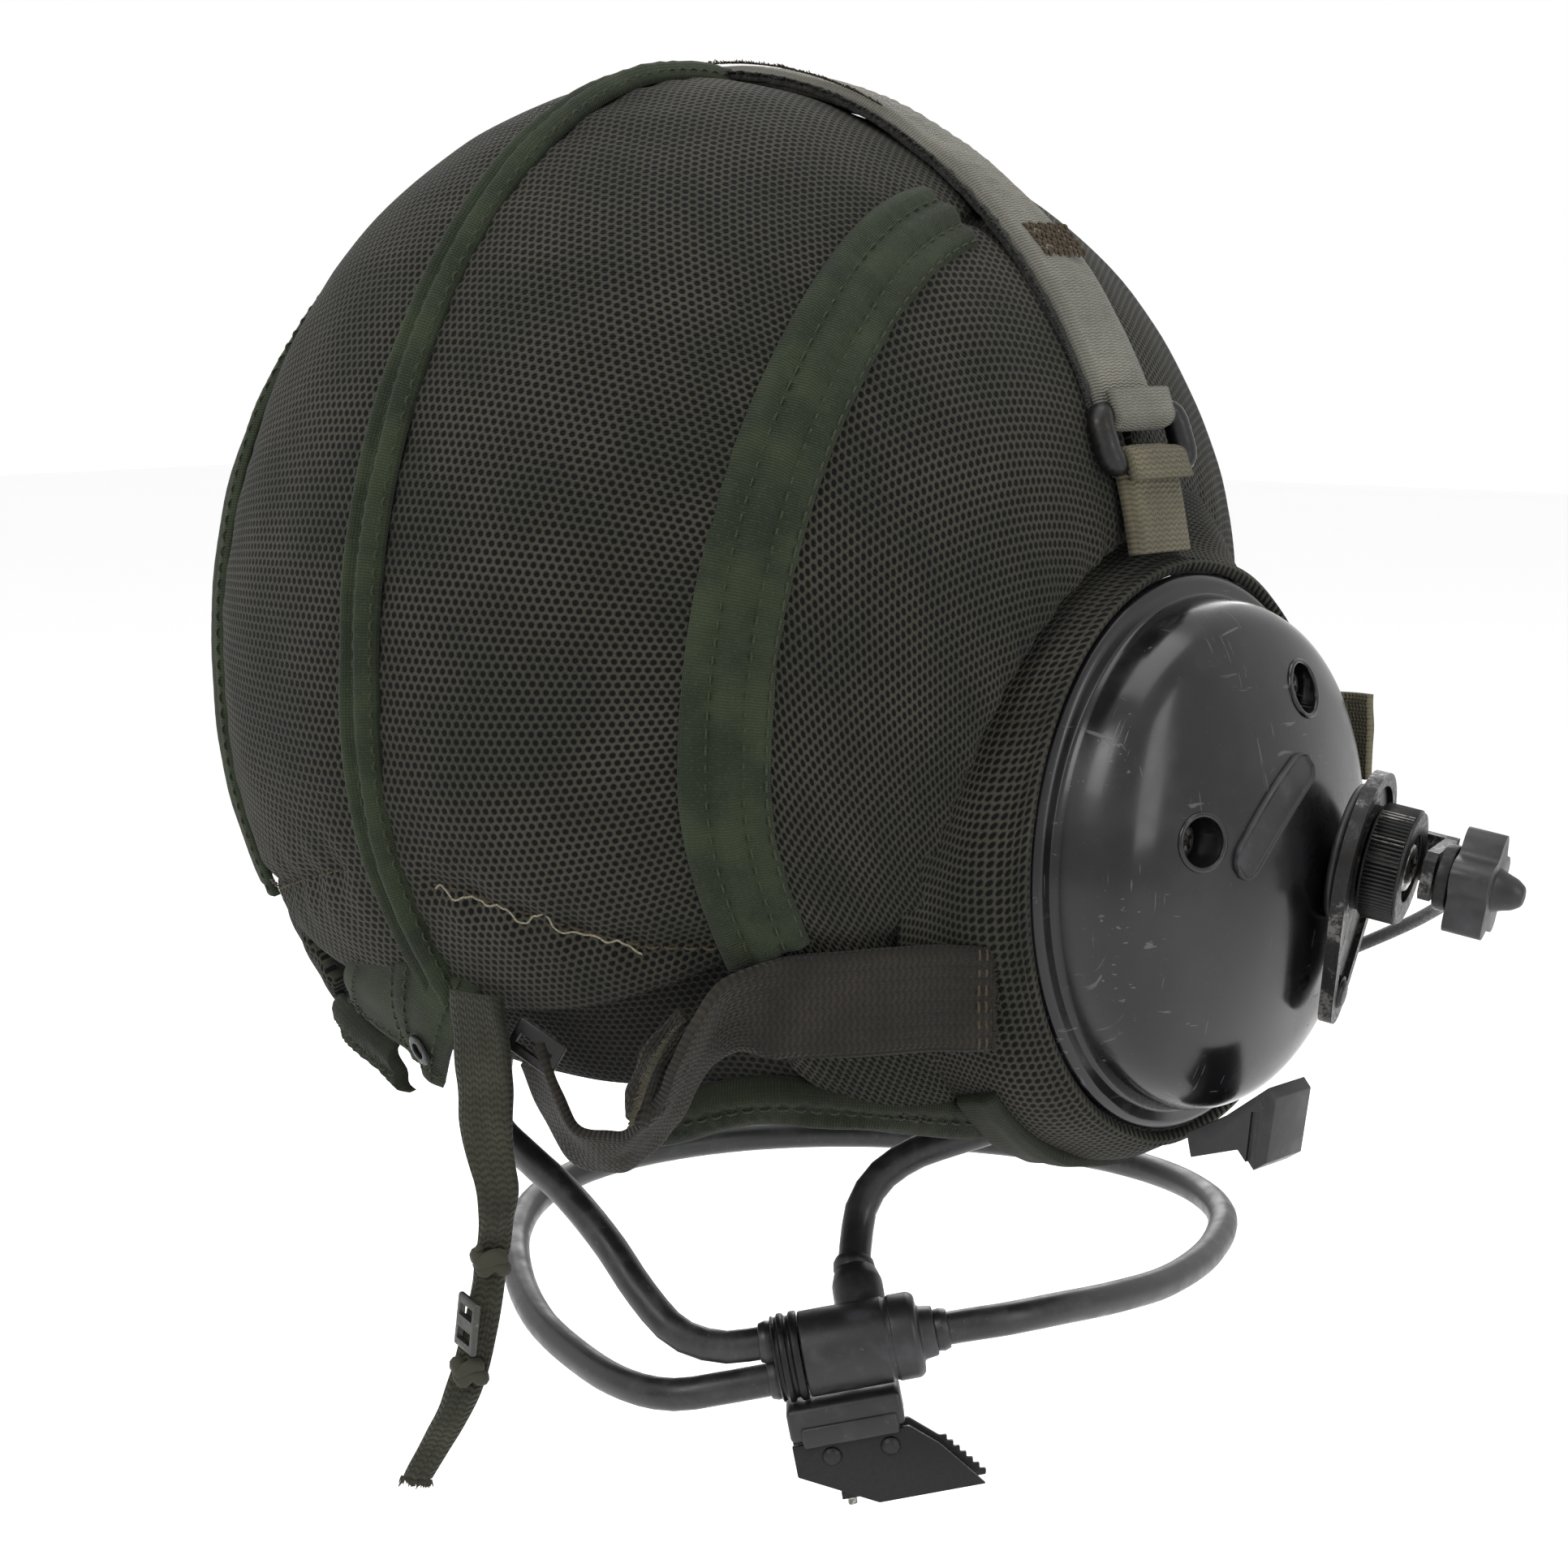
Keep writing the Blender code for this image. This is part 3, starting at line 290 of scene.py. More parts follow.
def gloss_shell(name):
    """Black gloss moulding, scuffed: fine scratches, dull rubbed patches and a little dust."""
    p = Paint(name, 0.2, 0.0, Coat_Weight=0.12, Coat_Roughness=0.12, Specular_IOR_Level=0.32)
    place = p.place()
    lines = None
    for turn, (a, b, c) in enumerate(((900, 60, 60), (70, 1000, 90), (500, 60, 800))):
        shape = p.noise(p.vector("ADD", p.stretched(place, a, b, c), (turn * 7.0, 0, 0)), 1.0, 2.0,
                        0.7)
        line = p.step(shape, 0.66, 0.70)
        lines = line if lines is None else p.math("MAXIMUM", lines, line)
    gate = p.step(p.noise(place, 45.0, 2.0), 0.50, 0.62)
    scratch = p.math("MULTIPLY", lines, gate)
    rubbed = p.noise(place, 60.0, 5.0)
    dust = p.step(p.noise(place, 1500.0, 2.0), 0.70, 0.78)
    colour = p.mix(p.step(rubbed, 0.4, 0.75), (0.0045, 0.0045, 0.0050), (0.010, 0.010, 0.011))
    colour = p.mix(p.math("MULTIPLY", scratch, 0.5), colour, (0.10, 0.10, 0.105))
    colour = p.mix(p.math("MULTIPLY", dust, 0.35), colour, (0.09, 0.085, 0.075))
    rough = p.math("ADD", p.step(rubbed, 0.35, 0.75, 0.17, 0.36), p.math("MULTIPLY", scratch, 0.2))
    height = p.math("SUBTRACT", p.math("MULTIPLY", rubbed, 0.5), p.math("MULTIPLY", scratch, 0.6))
    return p.done(colour, p.bump(height, 0.00006, 0.5), rough)


def plastic(name, base=(0.010, 0.010, 0.011), rough=(0.36, 0.55)):
    """Moulded black plastic with a fine grain and rubbed, slightly greyer patches."""
    p = Paint(name, 0.45, 0.0, Specular_IOR_Level=0.38)
    place = p.place()
    grain = p.noise(place, 2600.0, 2.0)
    worn = p.noise(place, 160.0, 5.0)
    colour = p.mix(p.step(worn, 0.45, 0.78), base, tuple(3.2 * c for c in base))
    fleck = p.step(p.noise(place, 900.0, 2.0), 0.68, 0.76)
    colour = p.mix(p.math("MULTIPLY", fleck, 0.35), colour, tuple(7.0 * c for c in base))
    return p.done(colour, p.bump(grain, 0.00005, 0.5), p.step(worn, 0.3, 0.7, *rough))


def painted_metal(name, paint=(0.020, 0.020, 0.021), bare=(0.13, 0.123, 0.115), wear=0.74):
    """Dark finished metal that has rubbed through to bare metal in spots and streaks."""
    p = Paint(name, 0.4, 0.85)
    place = p.place()
    broad = p.noise(place, 120.0, 5.0, 0.65)
    fine = p.noise(place, 1400.0, 3.0, 0.6)
    edge = p.node("NewGeometry").outputs["Pointiness"]
    mask = p.math("ADD", p.math("MULTIPLY", broad, 0.7), p.math("MULTIPLY", fine, 0.3))
    mask = p.math("ADD", mask, p.step(edge, 0.56, 0.68, 0.0, 0.22))
    worn = p.step(mask, wear, wear + 0.10)
    colour = p.mix(worn, paint, bare)
    colour = p.mix(p.step(broad, 0.30, 0.45, 0.5, 0.0), colour, (0.020, 0.016, 0.013))
    rough = p.step(fine, 0.3, 0.7, 0.32, 0.55)
    return p.done(colour, p.bump(p.math("ADD", fine, p.math("MULTIPLY", worn, -0.5)), 0.00007,
                                 0.6), rough)


def steel(name, base=(0.36, 0.35, 0.33)):
    """Plated steel with turning marks, grime in spots."""
    p = Paint(name, 0.3, 1.0)
    place = p.place()
    grime = p.noise(place, 700.0, 4.0)
    marks = p.noise(p.stretched(place, 300.0, 3000.0, 3000.0), 1.0, 2.0)
    colour = p.mix(p.step(grime, 0.42, 0.62), base, tuple(0.30 * c for c in base))
    return p.done(colour, p.bump(marks, 0.00004, 0.5), p.step(grime, 0.3, 0.7, 0.22, 0.5))


def rubber(name, base=(0.011, 0.011, 0.012)):
    """Satin black cable sheath, with dust, scuffs and faint lengthwise drawing marks."""
    p = Paint(name, 0.42, 0.0, Specular_IOR_Level=0.38)
    place = p.place()
    scuff = p.noise(place, 180.0, 5.0, 0.65)
    fine = p.noise(place, 2400.0, 2.0)
    colour = p.mix(p.step(scuff, 0.42, 0.76), base, tuple(2.6 * c for c in base))
    dust = p.step(p.noise(place, 1100.0, 3.0), 0.64, 0.74)
    colour = p.mix(p.math("MULTIPLY", dust, 0.3), colour, (0.10, 0.095, 0.085))
    return p.done(colour, p.bump(fine, 0.00005, 0.4), p.step(scuff, 0.3, 0.75, 0.30, 0.50))


def leather(name, base=(0.020, 0.019, 0.019)):
    """Black vinyl seal skin: fine cells, soft creases, and paler patches of painted sheen in places,
    whose roughness also varies over the same patches.
    """
    p = Paint(name, 0.45, 0.0, Coat_Weight=0.1, Coat_Roughness=0.4)
    place = p.place()
    cells = p.node("TexVoronoi", feature="DISTANCE_TO_EDGE")
    p.put(place, cells.inputs["Vector"])
    cells.inputs["Scale"].default_value = 1300.0
    crease = p.noise(place, 130.0, 4.0)
    painted_sheen_mask = p.noise(place, 60.0, 3.0)
    # Paler where the mask is high: painted sheen, not a colour of the vinyl.
    colour = p.mix(p.step(painted_sheen_mask, 0.35, 0.7), base, tuple(1.9 * c for c in base))
    height = p.math("ADD", p.step(cells.outputs["Distance"], 0.0, 0.25),
                    p.math("MULTIPLY", crease, 2.0))
    return p.done(colour, p.bump(height, 0.00010, 0.6), p.step(painted_sheen_mask, 0.3, 0.7, 0.38, 0.55))


def foam(name, base=(0.018, 0.018, 0.018), cell=900.0):
    """Open-cell black foam, darker in the pores as painted shade."""
    p = Paint(name, 0.95, 0.0, Sheen_Weight=0.04, Sheen_Roughness=0.6, Specular_IOR_Level=0.15)
    place = p.place()
    cells = p.node("TexVoronoi", feature="F1")
    p.put(place, cells.inputs["Vector"])
    cells.inputs["Scale"].default_value = cell
    depth = cells.outputs["Distance"]
    # Darkest at the middle of each cell: painted shade in the pores.
    colour = p.mix(p.step(depth, 0.1, 0.55), tuple(0.3 * c for c in base),
                   tuple(1.6 * c for c in base))
    return p.done(colour, p.bump(depth, 0.0004, 0.8))


def thread(name, base=(0.026, 0.031, 0.017)):
    """Twisted sewing thread."""
    p = Paint(name, 0.85, 0.0, Sheen_Weight=0.04, Sheen_Roughness=0.5, Specular_IOR_Level=0.2)
    place = p.place()
    fine = p.noise(place, 3500.0, 2.0)
    colour = p.mix(p.step(fine, 0.3, 0.7), tuple(0.6 * c for c in base),
                   tuple(1.3 * c for c in base))
    return p.done(colour, p.bump(fine, 0.00008, 0.7))


def pile(name, base=(0.010, 0.010, 0.009)):
    """Black frayed pile of worn hook-and-loop tape, with lint in it."""
    p = Paint(name, 0.95, 0.0, Sheen_Weight=0.04, Sheen_Roughness=0.6, Specular_IOR_Level=0.15)
    place = p.place()
    tuft = p.noise(place, 1400.0, 3.0, 0.7)
    lint = p.step(p.noise(place, 500.0, 3.0), 0.60, 0.72)
    colour = p.mix(p.step(tuft, 0.3, 0.75), base, tuple(4.0 * c for c in base))
    colour = p.mix(p.math("MULTIPLY", lint, 0.4), colour, (0.085, 0.072, 0.055))
    return p.done(colour, p.bump(tuft, 0.0005, 0.9))


MESH = spacer_mesh("spacer mesh")
MESH_LOW = spacer_mesh("spacer mesh in shade", (0.018, 0.017, 0.012), (0.009, 0.009, 0.007))
TAPE = tape_cloth("green tape")
HEM_TAPE = tape_cloth("hem tape", (0.020, 0.023, 0.013), (0.009, 0.011, 0.006))
STRAP = webbing("headband webbing", (0.215, 0.208, 0.172), (0.140, 0.136, 0.112), 0.0006,
                STRAP_WIDTH)
LOOP = webbing("ribbed loop webbing", (0.145, 0.128, 0.082), (0.084, 0.075, 0.048), 0.0010,
               BUCKLE_GAP)
NAPE = webbing("nape webbing", (0.025, 0.021, 0.015), (0.009, 0.008, 0.006), 0.0012, 0.0185)
TAIL = webbing("tail webbing", (0.040, 0.040, 0.026), (0.017, 0.017, 0.011), 0.0013, 0.0110)
THREAD = thread("olive thread")
PALE_THREAD = thread("pale thread", (0.17, 0.15, 0.11))
BROWN_THREAD = thread("brown thread", (0.046, 0.034, 0.020))
GLOSS = gloss_shell("gloss black shell")
PLASTIC = plastic("black plastic")
METAL = painted_metal("blackened metal")
WORN = painted_metal("worn blackened metal", (0.026, 0.026, 0.026), (0.19, 0.18, 0.165), 0.64)
STEEL = steel("plated steel")
RUBBER = rubber("cable sheath")
SKIN = leather("seal skin")
FOAM = foam("black foam")
PAD = foam("black pad cloth", (0.012, 0.012, 0.012), 1500.0)
PILE = pile("frayed pile")


# Meshes

def add(name, mesh, material, body="cap", nodes=(), angle=40.0):
    """Link a finished mesh as a piece that rides on a body and stands for CAD nodes."""
    obj = bpy.data.objects.new(name, mesh)
    bpy.context.scene.collection.objects.link(obj)
    mesh.materials.clear()
    mesh.materials.append(material)
    mesh.shade_smooth()
    if angle:
        mesh.set_sharp_from_angle(angle=math.radians(angle))
    if nodes:
        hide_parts(*nodes)
    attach(obj, body)
    return obj


def mesh_of(name, verts, faces, uvs=None):
    mesh = bpy.data.meshes.new(name)
    mesh.from_pydata([tuple(v) for v in verts], [], faces)
    if uvs:
        layer = mesh.uv_layers.new(name="cloth")
        for loop in mesh.loops:
            layer.data[loop.index].uv = uvs[loop.vertex_index]
    mesh.validate()
    mesh.update()
    return mesh


def baked(mesh, *modifiers, name="work"):
    """The mesh with modifiers applied; each is (kind, {settings})."""
    work = bpy.data.objects.new(name, mesh)
    bpy.context.scene.collection.objects.link(work)
    for kind, settings in modifiers:
        made = work.modifiers.new(kind.lower(), kind)
        for key, value in settings.items():
            setattr(made, key, value)
    bpy.context.view_layer.update()
    result = bpy.data.meshes.new_from_object(
        work.evaluated_get(bpy.context.evaluated_depsgraph_get()))
    bpy.data.objects.remove(work, do_unlink=True)
    return result


def rounded_edges(width, segments=3, angle=30.0):
    return ("BEVEL", {"width": width, "segments": segments, "limit_method": "ANGLE",
                      "angle_limit": math.radians(angle), "harden_normals": False})


def cut_with(mesh, cutters):
    """The mesh less some cutter meshes."""
    for cutter in cutters:
        tool = bpy.data.objects.new("cutter", cutter)
        bpy.context.scene.collection.objects.link(tool)
        mesh = baked(mesh, ("BOOLEAN", {"operation": "DIFFERENCE", "solver": "EXACT",
                                        "object": tool}))
        bpy.data.objects.remove(tool, do_unlink=True)
    return mesh


def united(mesh, *others):
    for other in others:
        tool = bpy.data.objects.new("addition", other)
        bpy.context.scene.collection.objects.link(tool)
        mesh = baked(mesh, ("BOOLEAN", {"operation": "UNION", "solver": "EXACT", "object": tool}))
        bpy.data.objects.remove(tool, do_unlink=True)
    return mesh


def moved(mesh, matrix):
    mesh.transform(matrix)
    if matrix.determinant() < 0:
        mesh.flip_normals()
    return mesh


def merged(name, meshes):
    """Several meshes as one."""
    shape = bmesh.new()
    for mesh in meshes:
        shape.from_mesh(mesh)
    result = bpy.data.meshes.new(name)
    shape.to_mesh(result)
    shape.free()
    return result


def frame_on(origin, axis, up=(0.0, 0.0, 1.0)):
    z = Vector(axis).normalized()
    x = Vector(up)
    x = (x - z * x.dot(z)).normalized()
    matrix = Matrix((x, z.cross(x), z)).transposed().to_4x4()
    matrix.translation = origin
    return matrix


def softened(profile, cut=0.0008, steps=3, closed=False):
    """A profile with its corners rounded."""
    points = [Vector((r, z, 0.0)) for r, z in profile]
    result = []
    count = len(points)
    for index, point in enumerate(points):
        if not closed and index in (0, count - 1):
            result.append(point)
            continue
        before, after = points[index - 1], points[(index + 1) % count]
        reach = min(cut, 0.45 * (before - point).length, 0.45 * (after - point).length)
        first = point + (before - point).normalized() * reach
        last = point + (after - point).normalized() * reach
        for step in range(steps + 1):
            t = step / steps
            result.append(first.lerp(point, t).lerp(point.lerp(last, t), t))
    return [(p.x, p.y) for p in result]


def turned(profile, segments=96, oval=1.0, closed=False, name="turned"):
    """Mesh turned about Z from a profile of (radius, height), narrowed along Y."""
    verts, rings = [], []
    for radius, height in profile:
        if radius < 1e-7:
            rings.append([len(verts)])
            verts.append((0.0, 0.0, height))
            continue
        ring = []
        for step in range(segments):
            a = 2 * math.pi * step / segments
            ring.append(len(verts))
            verts.append((radius * math.cos(a), radius * math.sin(a) * oval, height))
        rings.append(ring)
    faces = []
    pairs = list(zip(rings, rings[1:])) + ([(rings[-1], rings[0])] if closed else [])
    for low, high in pairs:
        for step in range(segments):
            after = (step + 1) % segments
            if len(low) == 1 and len(high) == 1:
                continue
            if len(low) == 1:
                faces.append((low[0], high[after], high[step]))
            elif len(high) == 1:
                faces.append((low[step], low[after], high[0]))
            else:
                faces.append((low[step], low[after], high[after], high[step]))
    mesh = mesh_of(name, verts, faces)
    return outward(mesh)


def outward(mesh):
    shape = bmesh.new()
    shape.from_mesh(mesh)
    bmesh.ops.recalc_face_normals(shape, faces=shape.faces)
    shape.to_mesh(mesh)
    shape.free()
    return mesh


def extruded(outline, low, high, name="extruded"):
    count = len(outline)
    verts = [(x, y, low) for x, y in outline] + [(x, y, high) for x, y in outline]
    faces = [tuple(range(count))[::-1], tuple(range(count, 2 * count))]
    faces += [(i, (i + 1) % count, (i + 1) % count + count, i + count) for i in range(count)]
    return outward(mesh_of(name, verts, faces))


def box_mesh(low, high):
    return extruded([(low[0], low[1]), (high[0], low[1]), (high[0], high[1]), (low[0], high[1])],
                    low[2], high[2])


def rod_mesh(radius, low, high, segments=48, place=(0.0, 0.0)):
    return extruded([(place[0] + radius * math.cos(2 * math.pi * i / segments),
                      place[1] + radius * math.sin(2 * math.pi * i / segments))
                     for i in range(segments)], low, high)


def spline_point(points, t):
    spans = len(points) - 1
    place = min(max(t, 0.0), 1.0) * spans
    index = min(int(place), spans - 1)
    f = place - index
    p1, p2 = points[index], points[index + 1]
    p0 = points[index - 1] if index > 0 else p1 * 2 - p2
    p3 = points[index + 2] if index + 2 <= spans else p2 * 2 - p1
    return 0.5 * (2 * p1 + (p2 - p0) * f + (2 * p0 - 5 * p1 + 4 * p2 - p3) * f * f
                  + (3 * p1 - p0 - 3 * p2 + p3) * f ** 3)


def even_route(route, spacing):
    """Points of a smooth curve through a route, about one spacing apart."""
    knots = [Vector(point) for point in route]
    dense = [spline_point(knots, i / 800) for i in range(801)]
    lengths = [0.0]
    for first, second in zip(dense, dense[1:]):
        lengths.append(lengths[-1] + (second - first).length)
    count = max(2, round(lengths[-1] / spacing))
    picked, index = [], 0
    for step in range(count + 1):
        target = lengths[-1] * step / count
        while index < len(lengths) - 1 and lengths[index] < target:
            index += 1
        picked.append(dense[index])
    return picked


def tube(points, radius, sides=10, squeeze=None):
    """Closed round tube along points; radius may be a function of t."""
    count = len(points)
    verts, faces = [], []
    normal = None
    for index, point in enumerate(points):
        ahead = points[min(index + 1, count - 1)]
        behind = points[max(index - 1, 0)]
        along = (ahead - behind).normalized()
        if normal is None:
            normal = along.orthogonal().normalized()
        normal = (normal - along * normal.dot(along)).normalized()
        side = along.cross(normal)
        r = radius(index / (count - 1)) if callable(radius) else radius
        for step in range(sides):
            a = 2 * math.pi * step / sides
            verts.append(point + normal * r * math.cos(a) + side * r * math.sin(a))
    for index in range(count - 1):
        for step in range(sides):
            a, b = index * sides + step, index * sides + (step + 1) % sides
            faces.append((a, b, b + sides, a + sides))
    faces.append(tuple(range(sides))[::-1])
    faces.append(tuple(range((count - 1) * sides, count * sides)))
    return mesh_of("tube", verts, faces)


def ring_tube(points, radius, sides=10):
    """Round tube along a closed loop of points; radius may be a function of the index."""
    count = len(points)
    verts, faces = [], []
    centre = sum(points, Vector()) / count
    plane = sum(((points[i] - centre).cross(points[(i + 1) % count] - centre)
                 for i in range(count)),
                Vector()).normalized()
    for index, point in enumerate(points):
        along = (points[(index + 1) % count] - points[index - 1]).normalized()
        side = along.cross(plane).normalized()
        r = radius(index) if callable(radius) else radius
        for step in range(sides):
            a = 2 * math.pi * step / sides
            verts.append(point + side * r * math.cos(a) + plane * r * math.sin(a))
    for index in range(count):
        for step in range(sides):
            after = (index + 1) % count
            a, b = index * sides + step, index * sides + (step + 1) % sides
            faces.append((a, b, after * sides + (step + 1) % sides, after * sides + step))
    return outward(mesh_of("ring", verts, faces))


# Cloth

class Cloth:
    """A closed piece of cloth: a grid of points with its back and its edges."""

    def __init__(self, point_at, across, along, centre=CAP_CENTRE):
        self.across, self.along = across, along
        self.rows = [[Vector(point_at(i / across, j / along)) for i in range(across + 1)]
                     for j in range(along + 1)]
        self.normals = self.make_normals(centre)
        mid = across // 2
        self.x, self.y = [], []
        run = 0.0
        for j, row in enumerate(self.rows):
            if j:
                run += (row[mid] - self.rows[j - 1][mid]).length
            places = [0.0]
            for first, second in zip(row, row[1:]):
                places.append(places[-1] + (second - first).length)
            self.x.append([p - places[mid] for p in places])
            self.y.append(run)

    def make_normals(self, centre):
        normals = []
        total = 0.0
        for j in range(self.along + 1):
            line = []
            for i in range(self.across + 1):
                a = self.rows[j][min(i + 1, self.across)] - self.rows[j][max(i - 1, 0)]
                b = self.rows[min(j + 1, self.along)][i] - self.rows[max(j - 1, 0)][i]
                normal = a.cross(b)
                normal = normal.normalized() if normal.length > 1e-14 else Vector((0, 0, 1))
                total += normal.dot(self.rows[j][i] - centre)
                line.append(normal)
            normals.append(line)
        self.flip = total < 0
        if self.flip:
            normals = [[-n for n in line] for line in normals]
        return normals

    def edge(self, i, j):
        """Distance to the nearer side edge, in metres."""
        return min(self.x[j][i] - self.x[j][0], self.x[j][-1] - self.x[j][i])

    def mesh(self, name, thickness, relief=None, inner=0.6):
        """The closed mesh; relief(i, j, point) lifts the face, and the back follows part of it."""
        verts, uvs = [], []
        lifts = [[relief(i, j, self.rows[j][i]) if relief else 0.0 for i in range(self.across + 1)]
                 for j in range(self.along + 1)]
        for layer in (0, 1):
            for j in range(self.along + 1):
                for i in range(self.across + 1):
                    lift = lifts[j][i] if layer == 0 else lifts[j][i] * inner - thickness
                    verts.append(self.rows[j][i] + self.normals[j][i] * lift)
                    uvs.append((self.x[j][i], self.y[j]))
        wide = self.across + 1
        back = wide * (self.along + 1)
        faces = []
        for j in range(self.along):
            for i in range(self.across):
                a, b = j * wide + i, j * wide + i + 1
                quad = (a, b, b + wide, a + wide)
                faces.append(quad[::-1] if self.flip else quad)
                quad = tuple(v + back for v in quad)
                faces.append(quad if self.flip else quad[::-1])
        rim = ([i for i in range(wide)] + [j * wide + self.across for j in range(1, self.along + 1)]
               + [self.along * wide + i for i in range(self.across - 1, -1, -1)]
               + [j * wide for j in range(self.along - 1, 0, -1)])
        for first, second in zip(rim, rim[1:] + rim[:1]):
            quad = (second, first, first + back, second + back)
            faces.append(quad[::-1] if self.flip else quad)
        return mesh_of(name, verts, faces, uvs)

    def area(self):
        total = 0.0
        for j in range(self.along):
            for i in range(self.across):
                a, b = self.rows[j][i], self.rows[j][i + 1]
                c, d = self.rows[j + 1][i + 1], self.rows[j + 1][i]
                total += (b - a).cross(c - a).length / 2 + (c - a).cross(d - a).length / 2
        return total

    def flat(self):
        """Width and length of the flat cut that would hold this cloth."""
        width = max(row[-1] - row[0] for row in self.x)
        return width, self.y[-1]


def declare(obj, cloth):
    """Work out the flat size that a piece of cloth was cut to, and keep nothing of it."""
    width, length = cloth.flat()
    area = cloth.area()
    length = max(length, area / width)


def wave(value):
    return math.sin(2 * math.pi * value)


def smoothstep(value, low, high):
    t = min(max((value - low) / (high - low), 0.0), 1.0)
    return t * t * (3 - 2 * t)


def stitch_meshes(line, normals, length=0.0021, pitch=0.0031, radius=0.00022, lift=0.0):
    """Small raised stitches along a line."""
    run, marks = 0.0, [0.0]
    for first, second in zip(line, line[1:]):
        run += (second - first).length
        marks.append(run)

    def at(distance):
        for index in range(len(marks) - 1):
            if marks[index + 1] >= distance:
                t = (distance - marks[index]) / max(marks[index + 1] - marks[index], 1e-9)
                return line[index].lerp(line[index + 1], t), normals[index]
        return line[-1], normals[-1]

    verts, faces = [], []
    start = 0.0005
    while start + length < run:
        ends = [at(start + length * t) for t in (0.0, 0.25, 0.5, 0.75, 1.0)]
        along = (ends[-1][0] - ends[0][0]).normalized()
        base = len(verts)
        for (point, normal), arch in zip(ends, (-0.00025, 0.0001, 0.0002, 0.0001, -0.00025)):
            side = along.cross(normal).normalized()
            for step in range(6):
                a = math.pi * step / 3
                verts.append(point + normal * (lift + arch + radius * math.sin(a)) + side * radius
                             * math.cos(a))
        for ring in range(4):
            for step in range(6):
                a, b = base + ring * 6 + step, base + ring * 6 + (step + 1) % 6
                faces.append((a, b, b + 6, a + 6))
        faces.append(tuple(base + s for s in range(6))[::-1])
        faces.append(tuple(base + 24 + s for s in range(6)))
        start += pitch
    return outward(mesh_of("stitches", verts, faces))


def stitched(name, lines, material=None, body="cap", **sizes):
    """One piece of stitching from several (points, normals) lines."""
    return add(name, merged(name, [stitch_meshes(points, normals, **sizes) for points,
                                   normals in lines]),
               material or THREAD, body)


# The cap's surface

def cap_point(direction, lift=0.0):
    d = Vector(direction).normalized()
    length = CAP_REAR if d.y > 0 else CAP_FRONT
    height = CAP_TOP if d.z > 0 else CAP_DROP
    reach = 1 / math.sqrt((d.x / CAP_HALF_WIDTH) ** 2 + (d.y / length) ** 2 + (d.z / height) ** 2)
    point = CAP_CENTRE + d * (reach + lift)
    low = max(0.0, (TUCK_START - point.z) / TUCK_HEIGHT)
    point.y -= NAPE_TUCK * min(low, 1.5) ** 2 * max(0.0, d.y) ** 2
    slope = math.tanh((point.y - 0.027) / 0.020)
    point.z += smoothstep(point.z, 0.085, 0.138) * slope * (CROWN_RISE if slope > 0 else CROWN_FALL)
    return point


def cap_toward(point):
    """Direction whose point on the cap lies nearest under a point."""
    point = Vector(point)
    direction = point - CAP_CENTRE
    for _ in range(12):
        direction += point - cap_point(direction)
    return direction


def cap_direction(side, sideways, around):
    """Direction from angles in degrees: off the mid-plane, and around from the face."""
    a, b = math.radians(sideways), math.radians(around)
    return Vector((side * math.sin(a), -math.cos(a) * math.cos(b), math.cos(a) * math.sin(b)))


def coronal_angle(sideways):
    level = (CAP_CENTRE.y - CORONAL_Y) / CAP_TOP
    return math.degrees(math.acos(min(0.9, level / math.cos(math.radians(sideways)))))


def tape_sideways(around):
    return 36.0 + 7.0 * math.sin(math.pi * min(max((around - 80.0) / 150.0, 0.0), 1.0))


def ear_ring(side, turn, radius):
    """Direction to the cap surface on a ring round the ear; turn 0 is up and 90 is rearward."""
    a = math.radians(turn)
    y = radius * SLEEVE_OVAL * math.sin(a)
    z = radius * math.cos(a)
    length = CAP_REAR if y > CAP_CENTRE.y else CAP_FRONT
    height = CAP_TOP if z > CAP_CENTRE.z else CAP_DROP
    share = 1 - ((y - CAP_CENTRE.y) / length) ** 2 - ((z - CAP_CENTRE.z) / height) ** 2
    return Vector((side * CAP_HALF_WIDTH * math.sqrt(share), y, z)) - CAP_CENTRE


def browed(direction, outer, inner, u, v):
    return direction + Vector((0.0, 0.0, (outer.z - inner.z) * 0.85 * v * u * (1 - u)))


# Cords

LEAD_LEFT_ROUTE = (
    (0.0804, 0.0145, -0.0467), (0.0750, 0.0151, -0.0492), (0.0695, 0.0158, -0.0518),
    (0.0640, 0.0180, -0.0545), (0.0580, 0.0240, -0.0572), (0.0520, 0.0330, -0.0595),
    (0.0420, 0.0430, -0.0615), (0.0300, 0.0515, -0.0630), (0.0160, 0.0580, -0.0650),
    (0.0020, 0.0620, -0.0690), (-0.0110, 0.0650, -0.0755), (-0.0215, 0.0670, -0.0830),
    (-0.0300, 0.0665, -0.0890), (-0.0368, 0.0618, -0.0915), (-0.0435, 0.0564, -0.0905),
)
LEAD_RIGHT_ROUTE = (
    (-0.0804, 0.0145, -0.0467), (-0.0750, 0.0151, -0.0492), (-0.0695, 0.0158, -0.0518),
    (-0.0635, 0.0172, -0.0545), (-0.0575, 0.0195, -0.0570), (-0.0515, 0.0225, -0.0598),
    (-0.0465, 0.0260, -0.0640), (-0.0440, 0.0290, -0.0695), (-0.0450, 0.0322, -0.0750),
    (-0.0476, 0.0362, -0.0800),
)
